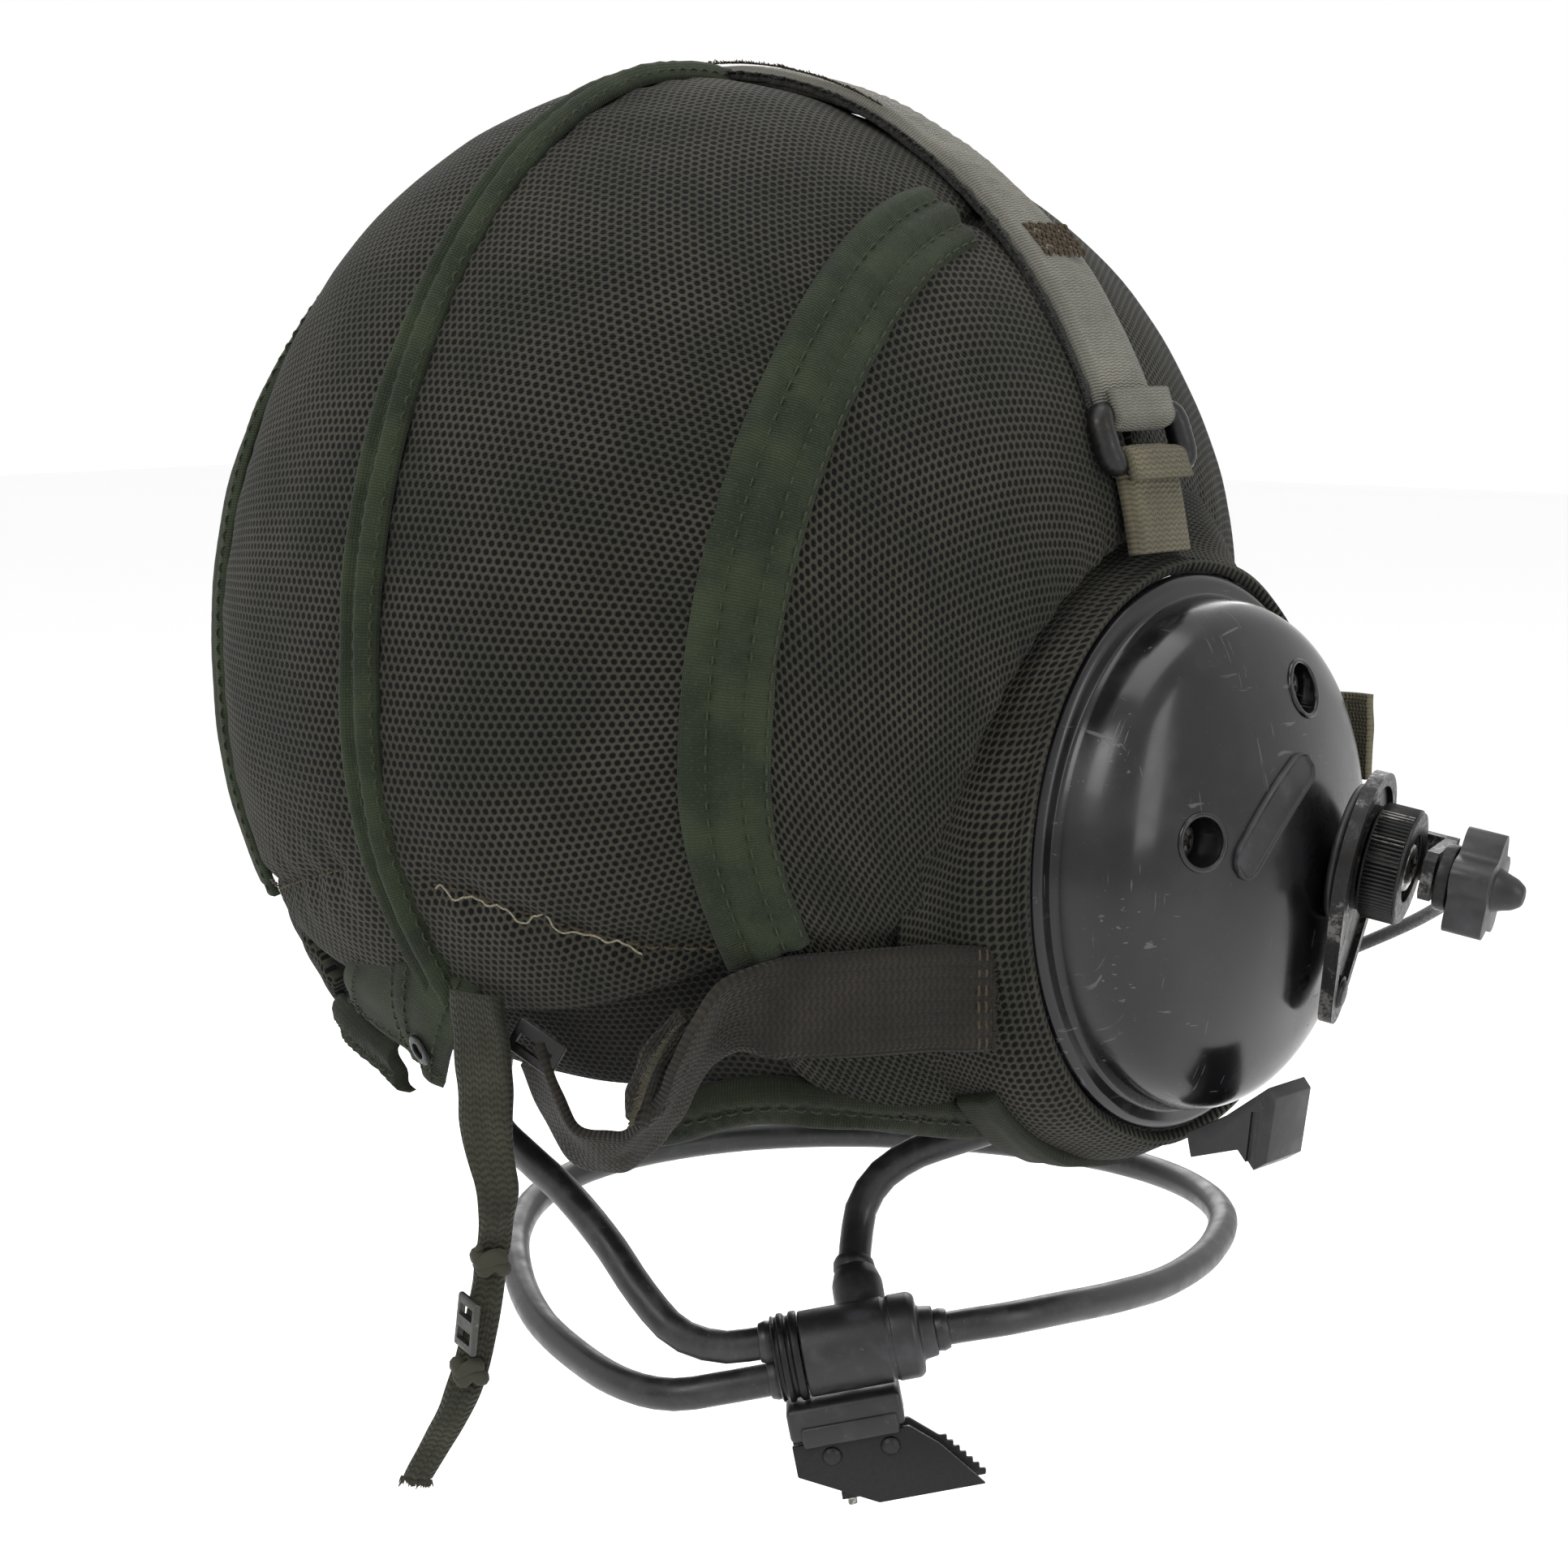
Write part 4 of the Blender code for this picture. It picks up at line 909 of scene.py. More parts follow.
NECK_LOOP_ROUTE = (
    (-0.0679, 0.0360, -0.0881), (-0.0723, 0.0322, -0.0871), (-0.0764, 0.0270, -0.0865),
    (-0.0795, 0.0150, -0.0867), (-0.0800, -0.0040, -0.0885), (-0.0775, -0.0260, -0.0905),
    (-0.0700, -0.0520, -0.0915), (-0.0580, -0.0750, -0.0910), (-0.0400, -0.0900, -0.0905),
    (-0.0180, -0.0965, -0.0900), (0.0050, -0.0940, -0.0895), (0.0280, -0.0840, -0.0890),
    (0.0480, -0.0670, -0.0885), (0.0620, -0.0450, -0.0885), (0.0690, -0.0210, -0.0895),
    (0.0670, 0.0010, -0.0915), (0.0570, 0.0200, -0.0945), (0.0400, 0.0370, -0.0975),
    (0.0190, 0.0520, -0.1000), (-0.0040, 0.0625, -0.1015), (-0.0190, 0.0668, -0.1017),
    (-0.0295, 0.0665, -0.1010), (-0.0375, 0.0615, -0.0992), (-0.0449, 0.0553, -0.0974),
)
CORD_STEP = 0.0040


def cable(name, route):
    """A round cable as one open spline along its route, with its real length."""
    curve = bpy.data.curves.new(name, "CURVE")
    curve.dimensions = "3D"
    curve.bevel_depth = CORD_RADIUS
    curve.bevel_resolution = 6
    curve.use_fill_caps = True
    points = even_route(route, CORD_STEP)
    spline = curve.splines.new("POLY")
    spline.points.add(len(points) - 1)
    for item, point in zip(spline.points, points):
        item.co = (*point, 1.0)
    spline.use_smooth = True
    obj = bpy.data.objects.new(name + "_cable", curve)
    bpy.context.scene.collection.objects.link(obj)
    curve.materials.append(RUBBER)
    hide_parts(name)
    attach(obj, "cap")
    return obj, points, sum((b - a).length for a, b in zip(points, points[1:]))


CABLES = {name: cable(name, route) for name, route in (
    ("lead_left", LEAD_LEFT_ROUTE), ("lead_right", LEAD_RIGHT_ROUTE),
    ("neck_loop", NECK_LOOP_ROUTE))}


# Skullcap

WORDS = ((1, "left"), (-1, "right"))
RIM = 0.35


def rear_panel(side):
    def point_at(u, v):
        sideways = RIM + (tape_sideways(150.0) - 2 * RIM) * u
        start = coronal_angle(sideways) + RIM
        around = start + (NAPE_ANGLE - start) * v
        return cap_point(cap_direction(side, RIM + (tape_sideways(around) - 2 * RIM) * u, around))
    return point_at


def side_panel(side):
    def point_at(u, v):
        if v < 0.8:
            around = 84.0 + (NAPE_ANGLE - 84.0) * v / 0.8
            outer = cap_direction(side, tape_sideways(around) + RIM, around)
        else:
            around = NAPE_ANGLE + 12.0 * (v - 0.8) / 0.2
            outer = cap_direction(side, tape_sideways(NAPE_ANGLE) + RIM - 6.0 * (v - 0.8) / 0.2,
                                  around)
        outer = cap_point(outer) - CAP_CENTRE
        return cap_point(outer.lerp(ear_ring(side, 12.0 + 138.0 * v, 0.0600), u))
    return point_at


def front_panel(side):
    def point_at(u, v):
        start = coronal_angle(RIM) - 2 * RIM
        outer = cap_point(cap_direction(side, RIM,
                                        start + (FRONT_HEM_ANGLE - start) * v)) - CAP_CENTRE
        inner = ear_ring(side, 8.0 - 88.0 * v, 0.0600)
        return cap_point(browed(outer.lerp(inner, u), outer, inner, u, v))
    return point_at


def dart_height(x):
    """Height of the dart that runs across the back, at a distance from the middle."""
    return -0.001 - 0.009 * min(max((abs(x) - 0.014) / 0.033, 0.0), 1.0)


def quilted(cloth, bulge, dart=True, seed=0.0, ends=0.0):
    """Relief of stuffed spacer mesh: fuller between its seams, puckered beside them."""
    def relief(i, j, point):
        edge = cloth.edge(i, j)
        width = cloth.x[j][-1] - cloth.x[j][0]
        full = min(1.0, 4 * edge * max(width - edge, 0.0) / max(width, 1e-6) ** 2)
        crown = smoothstep(point.z, 0.105, 0.136)
        rise = bulge * (1 - 0.8 * crown) * full ** 0.5 - 0.0009 * math.exp(-edge / 0.0030)
        run = cloth.y[j]
        rise += 0.00045 * math.exp(-edge / 0.0075) * wave(run / 0.0092 + 0.8 * noise.noise(
            Vector((run * 45.0, seed, 0.0))))
        rise += 0.0011 * noise.noise(point * 21.0 + Vector((seed, 0.0, 0.0)))
        rise += 0.00035 * noise.noise(point * 75.0 + Vector((0.0, seed, 0.0)))
        if dart and point.y > 0.030:
            gap = point.z - dart_height(point.x)
            pull = 0.0019 * math.exp(-(gap / 0.0030) ** 2) * smoothstep(abs(point.x), 0.004, 0.016)
            ripple = 0.0004 * math.exp(-(gap / 0.0075) ** 2) * wave(point.x / 0.0085)
            rise += ripple - pull
        last = cloth.y[-1] - run
        rise -= 0.0012 * math.exp(-last / 0.0030)
        return rise * (1 - ends * smoothstep(run / cloth.y[-1], 0.97, 1.0))
    return relief


PANELS = {}
for side, word in WORDS:
    for kind, point_at, across, along, bulge, seed in (
            ("rear", rear_panel(side), 44, 110, 0.0021, 3.1),
            ("side", side_panel(side), 40, 100, 0.0017, 8.7),
            ("front", front_panel(side), 56, 72, 0.0015, 5.3)):
        name = "panel_%s_%s" % (kind, word)
        cloth = Cloth(point_at, across, along)
        mesh = cloth.mesh(name, 0.0026, quilted(cloth, bulge, kind != "front", seed + side))
        PANELS[name] = (add(name + "_mesh", mesh, MESH, nodes=(name,),
                            angle=0), cloth)


class Strip:
    """A band on the cap along a line of directions, with its own width."""

    def __init__(self, line, width, steps, lift, across=12):
        def point_at(u, v):
            here = cap_point(line(v)) - CAP_CENTRE
            ahead = cap_point(line(min(v + 0.002, 1.002))) - CAP_CENTRE
            sideways = here.cross(ahead - here).normalized()
            return cap_point(here + sideways * width * (u - 0.5), lift)
        self.cloth = Cloth(point_at, across, steps)
        self.width = width

    def line(self, share, lift):
        """Points and normals along the band at a share of its width from its middle."""
        cloth = self.cloth
        place = (share + 0.5) * cloth.across
        index = min(int(place), cloth.across - 1)
        t = place - index
        points = [row[index].lerp(row[index + 1], t) + normal[index] * lift
                  for row, normal in zip(cloth.rows, cloth.normals)]
        return points, [normal[index] for normal in cloth.normals]


def rounded_band(cloth, width, profile, seed=0.0, waviness=0.0004):
    """Relief of a sewn band from a profile over -0.5 to 0.5 of its width."""
    def relief(i, j, point):
        share = cloth.x[j][i] / width
        run = cloth.y[j]
        edge = 0.5 - abs(share)
        rise = profile(share) - 0.0007 * math.exp(-edge * width / 0.0006)
        rise += waviness * noise.noise(Vector((run * 70.0, share * 3.0, seed)))
        rise += 0.5 * waviness * wave(run / 0.0031 + 0.3
                                      * math.sin(run * 300.0)) * math.exp(-abs(abs(share) - 0.2)
                                              / 0.08)
        return rise
    return relief


def bump_at(share, centre, width, height):
    return height * math.exp(-((share - centre) / width) ** 2)


# The binding over the centre seam stands up as a folded ridge on the wearer's right of the seam
centre = Strip(lambda t: cap_direction(1, 0.0, FRONT_HEM_ANGLE + 2.5 + (NAPE_ANGLE - 24.5) * t),
               0.0090, 200, SEAM_LIFT)
mesh = centre.cloth.mesh("centre_binding", 0.0012, rounded_band(
    centre.cloth, 0.0090,
    lambda s: 0.0004 + bump_at(s, -0.27, 0.16, 0.0013) + bump_at(s, 0.24, 0.20, 0.0020)
    - bump_at(s, -0.02, 0.08, 0.0007),
    1.0), inner=0.2)
add("centre_binding", mesh, TAPE, nodes=("centre_seam_binding",), angle=0)
stitched("centre_binding_stitches", [centre.line(-0.03, 0.0004), centre.line(0.44, 0.0007)])

for side, word in WORDS:
    tape = Strip(lambda t: cap_direction(side, tape_sideways(97.0 + 118.5 * t), 97.0 + 118.5 * t),
                 0.0158, 150, SEAM_LIFT)
    mesh = tape.cloth.mesh("tape", 0.0012, rounded_band(
        tape.cloth, 0.0158,
        lambda s: 0.0003 + bump_at(s, 0.0, 0.13, 0.0014) + bump_at(s, -0.34, 0.13, 0.0007)
        + bump_at(s, 0.34, 0.13, 0.0008) - bump_at(s, 0.20, 0.05, 0.0004)
        - bump_at(s, -0.20, 0.05, 0.0004),
        2.0 + side), inner=0.2)
    add("side_tape_" + word, mesh, TAPE, nodes=("seam_tape_" + word,), angle=0)
    stitched("side_tape_stitches_" + word,
             [tape.line(-0.20, 0.0004), tape.line(0.20, 0.0004), tape.line(0.44, 0.0006)])

# Dart stitching across the back, with a length of loose pale thread on the wearer's right
for side, word in WORDS:
    points, normals = [], []
    for step in range(60):
        x = 0.010 + 0.052 * step / 59
        z = dart_height(x)
        y = 0.105
        direction = Vector((side * x, y, z)) - CAP_CENTRE
        for _ in range(12):
            surface = cap_point(direction)
            direction += Vector((side * x - surface.x, 0.0, z - surface.z))
        normal = (surface - CAP_CENTRE).normalized()
        points.append(surface + normal * 0.0008)
        normals.append(normal)
    stitched("dart_stitches_" + word, [(points, normals)], BROWN_THREAD, length=0.0024,
             pitch=0.0034)
    if side < 0:
        loose = [points[i] + normals[i] * (0.0009 + 0.0010
                                           * abs(noise.noise(Vector((i * 0.41, 9.0, 0.0)))))
                 + Vector((0.0, 0.0, 0.0030 * noise.noise(Vector((i * 0.23, 4.0, 0.0)))
                           + 0.0008 * noise.noise(Vector((i * 0.83, 1.0, 0.0)))))
                 for i in range(2, 42)]
        add("loose_thread", tube(even_route(loose, 0.0006), 0.00019, 6), PALE_THREAD)

# Hem bands: at the nape on both sides, and over the brow
HEM_LINE = ((0.0297, 0.0822, -0.0382), (0.0484, 0.0770, -0.0372), (0.0598, 0.0682, -0.0392),
            (0.0703, 0.0535, -0.0436), (0.0768, 0.0279, -0.0479))
for side, word in WORDS:
    knots = [Vector((side * x, y, z)) for x, y, z in HEM_LINE]
    hem = Strip(lambda t: cap_toward(spline_point(knots, 0.99 * t)), 0.0084, 70, 0.0012)
    mesh = hem.cloth.mesh("hem", 0.0024, rounded_band(
        hem.cloth, 0.0084, lambda s: 0.0002 + bump_at(s, 0.30, 0.16, 0.0011)
        + bump_at(s, -0.25, 0.2, 0.0006),
        6.0 + side, 0.0009), inner=0.4)
    add("nape_hem_" + word, mesh, HEM_TAPE, nodes=("hem_" + word,), angle=0)
    stitched("nape_hem_stitches_" + word, [hem.line(0.02, 0.0008)])


def front_line(t):
    side = 1 if t < 0.5 else -1
    inner = ear_ring(side, -80.0, 0.0640)
    outer = cap_point(cap_direction(side, 0.0, FRONT_HEM_ANGLE)) - CAP_CENTRE
    u = abs(2 * t - 1)
    return browed(outer.lerp(inner, u), outer, inner, u, 1.0)


brow = Strip(front_line, 0.0092, 150, 0.0010)
mesh = brow.cloth.mesh("brow", 0.0028, rounded_band(
    brow.cloth, 0.0092, lambda s: 0.0002 + bump_at(s, 0.30, 0.18, 0.0009)
    + bump_at(s, -0.28, 0.18, 0.0009), 9.0, 0.0006),
    inner=0.4)
add("brow_hem", mesh, TAPE, nodes=("front_hem_binding",), angle=0)
stitched("brow_hem_stitches", [brow.line(0.0, 0.0005), brow.line(0.40, 0.0008)])


# Mesh sleeves: collars that grow out of the cap and close round the flange of each cup
def sleeve_point(side):
    def point_at(u, v):
        turn = 360.0 * u
        a = math.radians(turn)
        low = smoothstep(-math.cos(a), 0.25, 0.85)
        base = cap_point(ear_ring(side, turn, 0.0672 - 0.0075 * low), 0.0004)
        high = 0.0548 + 0.0006 * math.sin(3 * a)
        knots = (base,
                 Vector((side * (0.0855 + 0.0035 * max(0.0, math.cos(a))),
                         0.0584 * CUP_OVAL * math.sin(a) * 1.01,
                         0.0584 * math.cos(a))),
                 Vector((side * 0.0930, high * 1.015 * CUP_OVAL * math.sin(a),
                         high * 1.015 * math.cos(a))),
                 Vector((side * 0.0972, 0.0531 * CUP_OVAL * math.sin(a), 0.0531 * math.cos(a))))
        return spline_point([Vector(k) for k in knots], v)
    return point_at


SLEEVES = {}
for side, word in WORDS:
    cloth = Cloth(sleeve_point(side), 160, 26, Vector((side * 0.075, 0.0, 0.0)))

    def gathered(i, j, point, cloth=cloth):
        share = j / cloth.along
        turn = 2 * math.pi * i / cloth.across
        folds = 0.0011 * math.sin(9 * turn + 1.3 * math.sin(2 * turn)) * share * (1 - share) * 2.2
        lip = 0.0009 * math.exp(-((share - 0.93) / 0.06) ** 2)
        return folds + lip + 0.0008 * noise.noise(point * 60.0) * (1 - share)
    mesh = cloth.mesh("sleeve", 0.0016, gathered)
    shape = bmesh.new()
    shape.from_mesh(mesh)
    bmesh.ops.remove_doubles(shape, verts=shape.verts, dist=0.00002)
    inside = [f for f in shape.faces if all(len(e.link_faces) > 2 for e in f.edges)]
    bmesh.ops.delete(shape, geom=inside, context="FACES_ONLY")
    shape.to_mesh(mesh)
    shape.free()
    SLEEVES[word] = (add("sleeve_" + word, mesh, MESH, nodes=("ear_sleeve_" + word,),
                         angle=0),
                     cloth)
    under = sleeve_point(side)
    hemline = Cloth(lambda u, v: under((132.0 + 100.0 * v) / 360.0, 0.02 + 0.26 * u), 10, 70,
                    Vector((side * 0.060, 0.0, 0.0)))
    mesh = hemline.mesh("sleeve_hem", 0.0010, lambda i, j,
                        point: 0.0016 + 0.0009 * noise.noise(point * 90.0)
                        + 0.0007 * math.exp(-((i / 10 - 0.75) / 0.2) ** 2), inner=0.3)
    add("sleeve_hem_" + word, mesh, HEM_TAPE, angle=0)

# The lower nape: a second layer of mesh in shade, and the green flap with an eyelet
SKIRT_TOP = [Vector(p) for p in (
    (0.0050, 0.0985, -0.0185), (-0.0306, 0.0945, -0.0155), (-0.0457, 0.0900, -0.0130),
    (-0.0587, 0.0832, -0.0100),
    (-0.0646, 0.0775, -0.0100), (-0.0737, 0.0684, -0.0090), (-0.0852, 0.0486, -0.0080))]
SKIRT_LOW = [Vector(p) for p in (
    (0.0050, 0.0850, -0.0410), (-0.0297, 0.0805, -0.0435), (-0.0484, 0.0748, -0.0425),
    (-0.0598, 0.0660, -0.0445),
    (-0.0703, 0.0518, -0.0485), (-0.0768, 0.0275, -0.0515))]


def skirt_point(u, v):
    return cap_point(cap_toward(spline_point(SKIRT_TOP, u).lerp(spline_point(SKIRT_LOW, u), v)),
                     -0.0034)


skirt_cloth = Cloth(skirt_point, 70, 36)
SKIRT = add("nape_skirt_right", skirt_cloth.mesh("skirt", 0.0018,
                                                 quilted(skirt_cloth, 0.0006, False, 2.2)),
                                                 MESH_LOW,
            angle=0)

FLAP_TOP = [Vector(p) for p in ((-0.0123, 0.0982, -0.0205), (0.0010, 0.0996, -0.0192),
                                (0.0136, 0.0992, -0.0186),
                                (0.0225, 0.0976, -0.0190))]
FLAP_LOW = [Vector(p) for p in ((0.0090, 0.0880, -0.0445), (0.0175, 0.0875, -0.0405),
                                (0.0355, 0.0855, -0.0310))]


def flap_point(u, v):
    point = spline_point(FLAP_TOP, u).lerp(spline_point(FLAP_LOW, u), v)
    return point + Vector((0.0, 0.0022 * math.sin(math.pi * v) + 0.0014 * math.sin(u * 9.0) * v,
                           0.0))


flap_cloth = Cloth(flap_point, 40, 30)
FLAP = add("nape_flap", flap_cloth.mesh("flap", 0.0014, lambda i, j,
                                        point: 0.0006 * noise.noise(point * 95.0)
           + 0.0007 * math.exp(-(i / 40 - 0.5) ** 2 / 0.002) + 0.0006
           * math.exp(-((j / 30 - 0.96) / 0.04) ** 2)),
           TAPE, angle=0)
lines = []
for share in (0.12, 0.44, 0.56, 0.88):
    points, normals = [], []
    for j in range(flap_cloth.along + 1):
        i = round(share * flap_cloth.across)
        points.append(flap_cloth.rows[j][i] + flap_cloth.normals[j][i] * 0.0006)
        normals.append(flap_cloth.normals[j][i])
    lines.append((points, normals))
points, normals = flap_cloth.rows[26], flap_cloth.normals[26]
lines.append(([p + n * 0.0007 for p, n in zip(points, normals)], normals))
stitched("nape_flap_stitches", lines)
place, normal = flap_cloth.rows[21][10], flap_cloth.normals[21][10]
EYELET = turned(softened([(0.0016, 0.0), (0.0031, 0.0), (0.0031, 0.0008), (0.0016, 0.0010)],
                         0.0003, closed=True),
                40, closed=True)
add("flap_eyelet", moved(EYELET, frame_on(place + normal * 0.0004, normal)), METAL)

# Straps

BUCKLE_Z = 0.0745


def strap_direction(z, side, y=CORONAL_Y):
    share = 1 - ((y - CAP_CENTRE.y) / CAP_FRONT) ** 2 - ((z - CAP_CENTRE.z) / CAP_TOP) ** 2
    return Vector((side * CAP_HALF_WIDTH * math.sqrt(max(share, 0.0)), y, z)) - CAP_CENTRE


def strap_frame(z, side, lift):
    """Local Z off the surface and local X up along the strap."""
    point = cap_point(strap_direction(z, side), lift)
    up = (cap_point(strap_direction(z + 0.002, side), lift) - point).normalized()
    return frame_on(point, Vector((0.0, side, 0.0)).cross(up).normalized(), up)


def over(t):
    low = math.asin((0.0800 - CAP_CENTRE.z) / CAP_TOP)
    angle = low + (math.pi - 2 * low) * t
    return Vector((CAP_HALF_WIDTH * math.cos(angle), CORONAL_Y - CAP_CENTRE.y,
                   CAP_TOP * math.sin(angle)))


strap = Strip(over, STRAP_WIDTH, 220, STRAP_LIFT, 14)
mesh = strap.cloth.mesh("strap", 0.0016, rounded_band(
    strap.cloth, STRAP_WIDTH, lambda s: 0.0002 - 0.0006 * s * s * 4 + bump_at(s, 0.0, 0.5, 0.0003),
    4.0, 0.0005), inner=0.8)
HEADBAND = add("headband", mesh, STRAP, nodes=("headband_strap",), angle=0)
rear_share = 0.5 if (strap.cloth.rows[110][-1].y > strap.cloth.rows[110][0].y) else -0.5


def fringe(name, line, normals, outward_side, count, length, material, seed, radius=0.00022,
           spread=0.5):
    """Short frayed fibres along a line."""
    verts, faces = [], []
    for index in range(count):
        place = (index + 0.5) / count * (len(line) - 1)
        low = int(place)
        point = line[low].lerp(line[min(low + 1, len(line) - 1)], place - low)
        normal = normals[low]
        along = (line[min(low + 1, len(line) - 1)] - line[low]).normalized()
        a = noise.noise(Vector((index * 1.7, seed, 0.3)))
        b = noise.noise(Vector((index * 2.3, seed, 7.1)))
        c = noise.noise(Vector((index * 3.1, seed, 3.7)))
        reach = length * (0.65 + 0.9 * abs(a))
        tip = point + outward_side(point, along,
                                   normal) * reach * (0.8 + 0.4 * b) + normal * spread * reach * c \
            + along * 0.9 * reach * a
        middle = point.lerp(tip, 0.5) + normal * 0.25 * reach * b
        base = len(verts)
        for spot, r in ((point, radius), (middle, radius * 0.85), (tip, radius * 0.35)):
            side = (tip - point).normalized().cross(normal).normalized()
            top = side.cross((tip - point).normalized())
            for step in range(4):
                t = math.pi * step / 2
                verts.append(spot + side * r * math.cos(t) + top * r * math.sin(t))
        for ring in range(2):
            for step in range(4):
                first, second = base + ring * 4 + step, base + ring * 4 + (step + 1) % 4
                faces.append((first, second, second + 4, first + 4))
        faces.append((base + 3, base + 2, base + 1, base))
        faces.append((base + 8, base + 9, base + 10, base + 11))
    return add(name, mesh_of(name, verts, faces), material, angle=0)


# Worn hook-and-loop pile under the strap shows along its rear edge
edge = Strip(over, STRAP_WIDTH + 0.0028, 260, STRAP_LIFT - 0.0021, 10)
sign = 1 if rear_share > 0 else -1
edge_rows = Cloth(lambda u, v: edge.cloth.rows[round(v
                                                     * 260)][round((0.5 + sign * (0.5 - 0.30 * u))
                                                             * 10)], 3, 260)
mesh = edge_rows.mesh("pile", 0.0013, lambda i, j, point: 0.0009 * noise.noise(point * 420.0),
                      inner=0.3)
add("headband_pile", mesh, PILE, angle=0)
pile_line = [row[10 if sign > 0 else 0] + normal[5] * 0.0002 for row, normal in
             zip(edge.cloth.rows, edge.cloth.normals)]
fringe("headband_pile_tufts", pile_line, [n[5] for n in edge.cloth.normals],
       lambda point, along, normal: Vector((0.0, 1.0, 0.0)), 900, 0.0013, PILE, 1.0)
FRAY = thread("frayed brown edge", (0.042, 0.032, 0.021))
crown = slice(96, 150)
fringe("headband_frayed_edge", [row[0 if sign < 0 else 14] for row in strap.cloth.rows[crown]],
       [n[7] for n in strap.cloth.normals[crown]], lambda point, along,
       normal: Vector((0.0, 0.8, 0.5)).normalized(),
       260, 0.0010, FRAY, 5.0, 0.00017)

# A bartack of brown thread where the strap is sewn down above the buckle
def bartack(name, frame_matrix, width, height, rows, material):
    lines = []
    for index in range(rows):
        y = -width / 2 + width * (index + 0.5) / rows
        wobble = 0.0004 * math.sin(index * 2.1)
        line = [frame_matrix @ Vector((-height / 2 + height * t / 10 + wobble, y, 0.0002))
                for t in range(11)]
        lines.append((line, [frame_matrix.to_3x3().col[2]] * 11))
    return stitched(name, lines, material, length=0.0017, pitch=0.0020, radius=0.00034, lift=0.0)


for side, word in WORDS:
    patch = strap_frame(0.1090, side, STRAP_LIFT + 0.0007)
    bartack("headband_bartack_" + word, patch, 0.0130, 0.0088, 13, BROWN_THREAD)


def buckle_ring(width, height, wire, side_wire):
    """Rectangular ring with swollen oval sides; local X is up."""
    corner = 0.0034
    points, sizes = [], []
    for index in range(4):
        cx = (height / 2 - corner) * (1 if index in (0, 3) else -1)
        cy = (width / 2 - corner) * (1 if index in (0, 1) else -1)
        for step in range(8):
            a = math.radians(90 * index + 90 * step / 7)
            points.append(Vector((cx + corner * math.cos(a), cy + corner * math.sin(a), 0.0)))
    for point in points:
        share = smoothstep(abs(point.y), width * 0.34, width * 0.48)
        sizes.append(wire + (side_wire - wire) * share)
    return ring_tube(points, lambda i: sizes[i], 14)


def loop_over(name, matrix, width, bar, reach, material):
    """Webbing folded round a bar: it comes from above, turns, and lies back on itself."""
    thick = 0.0015
    path = []
    for step in range(6):
        path.append((reach * (1 - step / 6), bar + thick))
    for step in range(13):
        a = math.pi / 2 - math.pi * step / 12
        path.append((-(bar + thick) * math.cos(a), (bar + thick) * math.sin(a)))
    for step in range(1, 5):
        path.append((reach * 0.55 * step / 4, -(bar + thick)))
    knots = [matrix @ Vector((x, 0.0, z)) for x, z in path]
    wide = matrix.to_3x3() @ Vector((0.0, 1.0, 0.0))
    cloth = Cloth(lambda u, v: spline_point(knots, v) + wide * width * (u - 0.5), 12, 60,
                  matrix @ Vector((-0.001, 0.0, 0.0)))
    mesh = cloth.mesh(name, thick, lambda i, j, point: 0.0002 * noise.noise(point * 300.0)
                      - 0.0005 * math.exp(-min(i, 12 - i) / 0.8), inner=0.5)
    return add(name, mesh, material, angle=0)


for side, word in WORDS:
    place = strap_frame(BUCKLE_Z, side, STRAP_LIFT - 0.0004)
    add("buckle_" + word, moved(buckle_ring(0.0240, 0.0108, 0.0013, 0.0024), place), WORN,
        nodes=("strap_buckle_" + word,), angle=0)
    loop_over("headband_end_" + word, place @ Matrix.Translation((0.0042, 0.0, 0.0)), BUCKLE_GAP,
              0.0013, 0.0045,
              STRAP)
    turn = Matrix.Rotation(math.pi, 4, "Z")
    loop_over("buckle_loop_end_" + word, place @ Matrix.Translation((-0.0042, 0.0, 0.0)) @ turn,
              BUCKLE_GAP, 0.0013,
              0.0040, LOOP)
    low = Strip(lambda t: strap_direction(0.0700 - 0.0150 * t, side), BUCKLE_GAP, 40,
                STRAP_LIFT + 0.0006)
    mesh = low.cloth.mesh("loop", 0.0016, rounded_band(
        low.cloth, BUCKLE_GAP, lambda s: 0.0001 + bump_at(s, 0.0, 0.5, 0.0002), 2.0, 0.0003),
        inner=0.8)
    add("buckle_loop_" + word, mesh, LOOP, nodes=("strap_loop_" + word,), angle=0)


def ribbon(name, rows, across, along, thickness, material, nodes=(), crease=0.0, seed=0.0,
           curl=0.0):
    """Webbing through rows of (middle point, width vector)."""
    middles = [Vector(row[0]) for row in rows]
    widths = [Vector(row[1]) for row in rows]

    def point_at(u, v):
        wide = spline_point(widths, v)
        point = spline_point(middles, v) + wide * (u - 0.5)
        ahead = spline_point(middles, min(v + 0.01, 1.0)) - spline_point(middles,
                max(v - 0.01, 0.0))
        off = wide.cross(ahead)
        off = off.normalized() if off.length > 1e-12 else Vector((0, 1, 0))
        return point + off * curl * (4 * (u - 0.5) ** 2 - 0.4)
    cloth = Cloth(point_at, across, along, Vector((0.0, 0.0, -0.03)))

    def relief(i, j, point):
        edge = min(i, across - i) / across
        rise = -0.0004 * math.exp(-edge / 0.04)
        rise += crease * noise.noise(Vector((cloth.y[j] * 130.0, edge * 2.0, seed)))
        return rise
    obj = add(name, cloth.mesh(name, thickness, relief, inner=0.9), material, nodes=nodes,
              angle=0)
    return obj, cloth


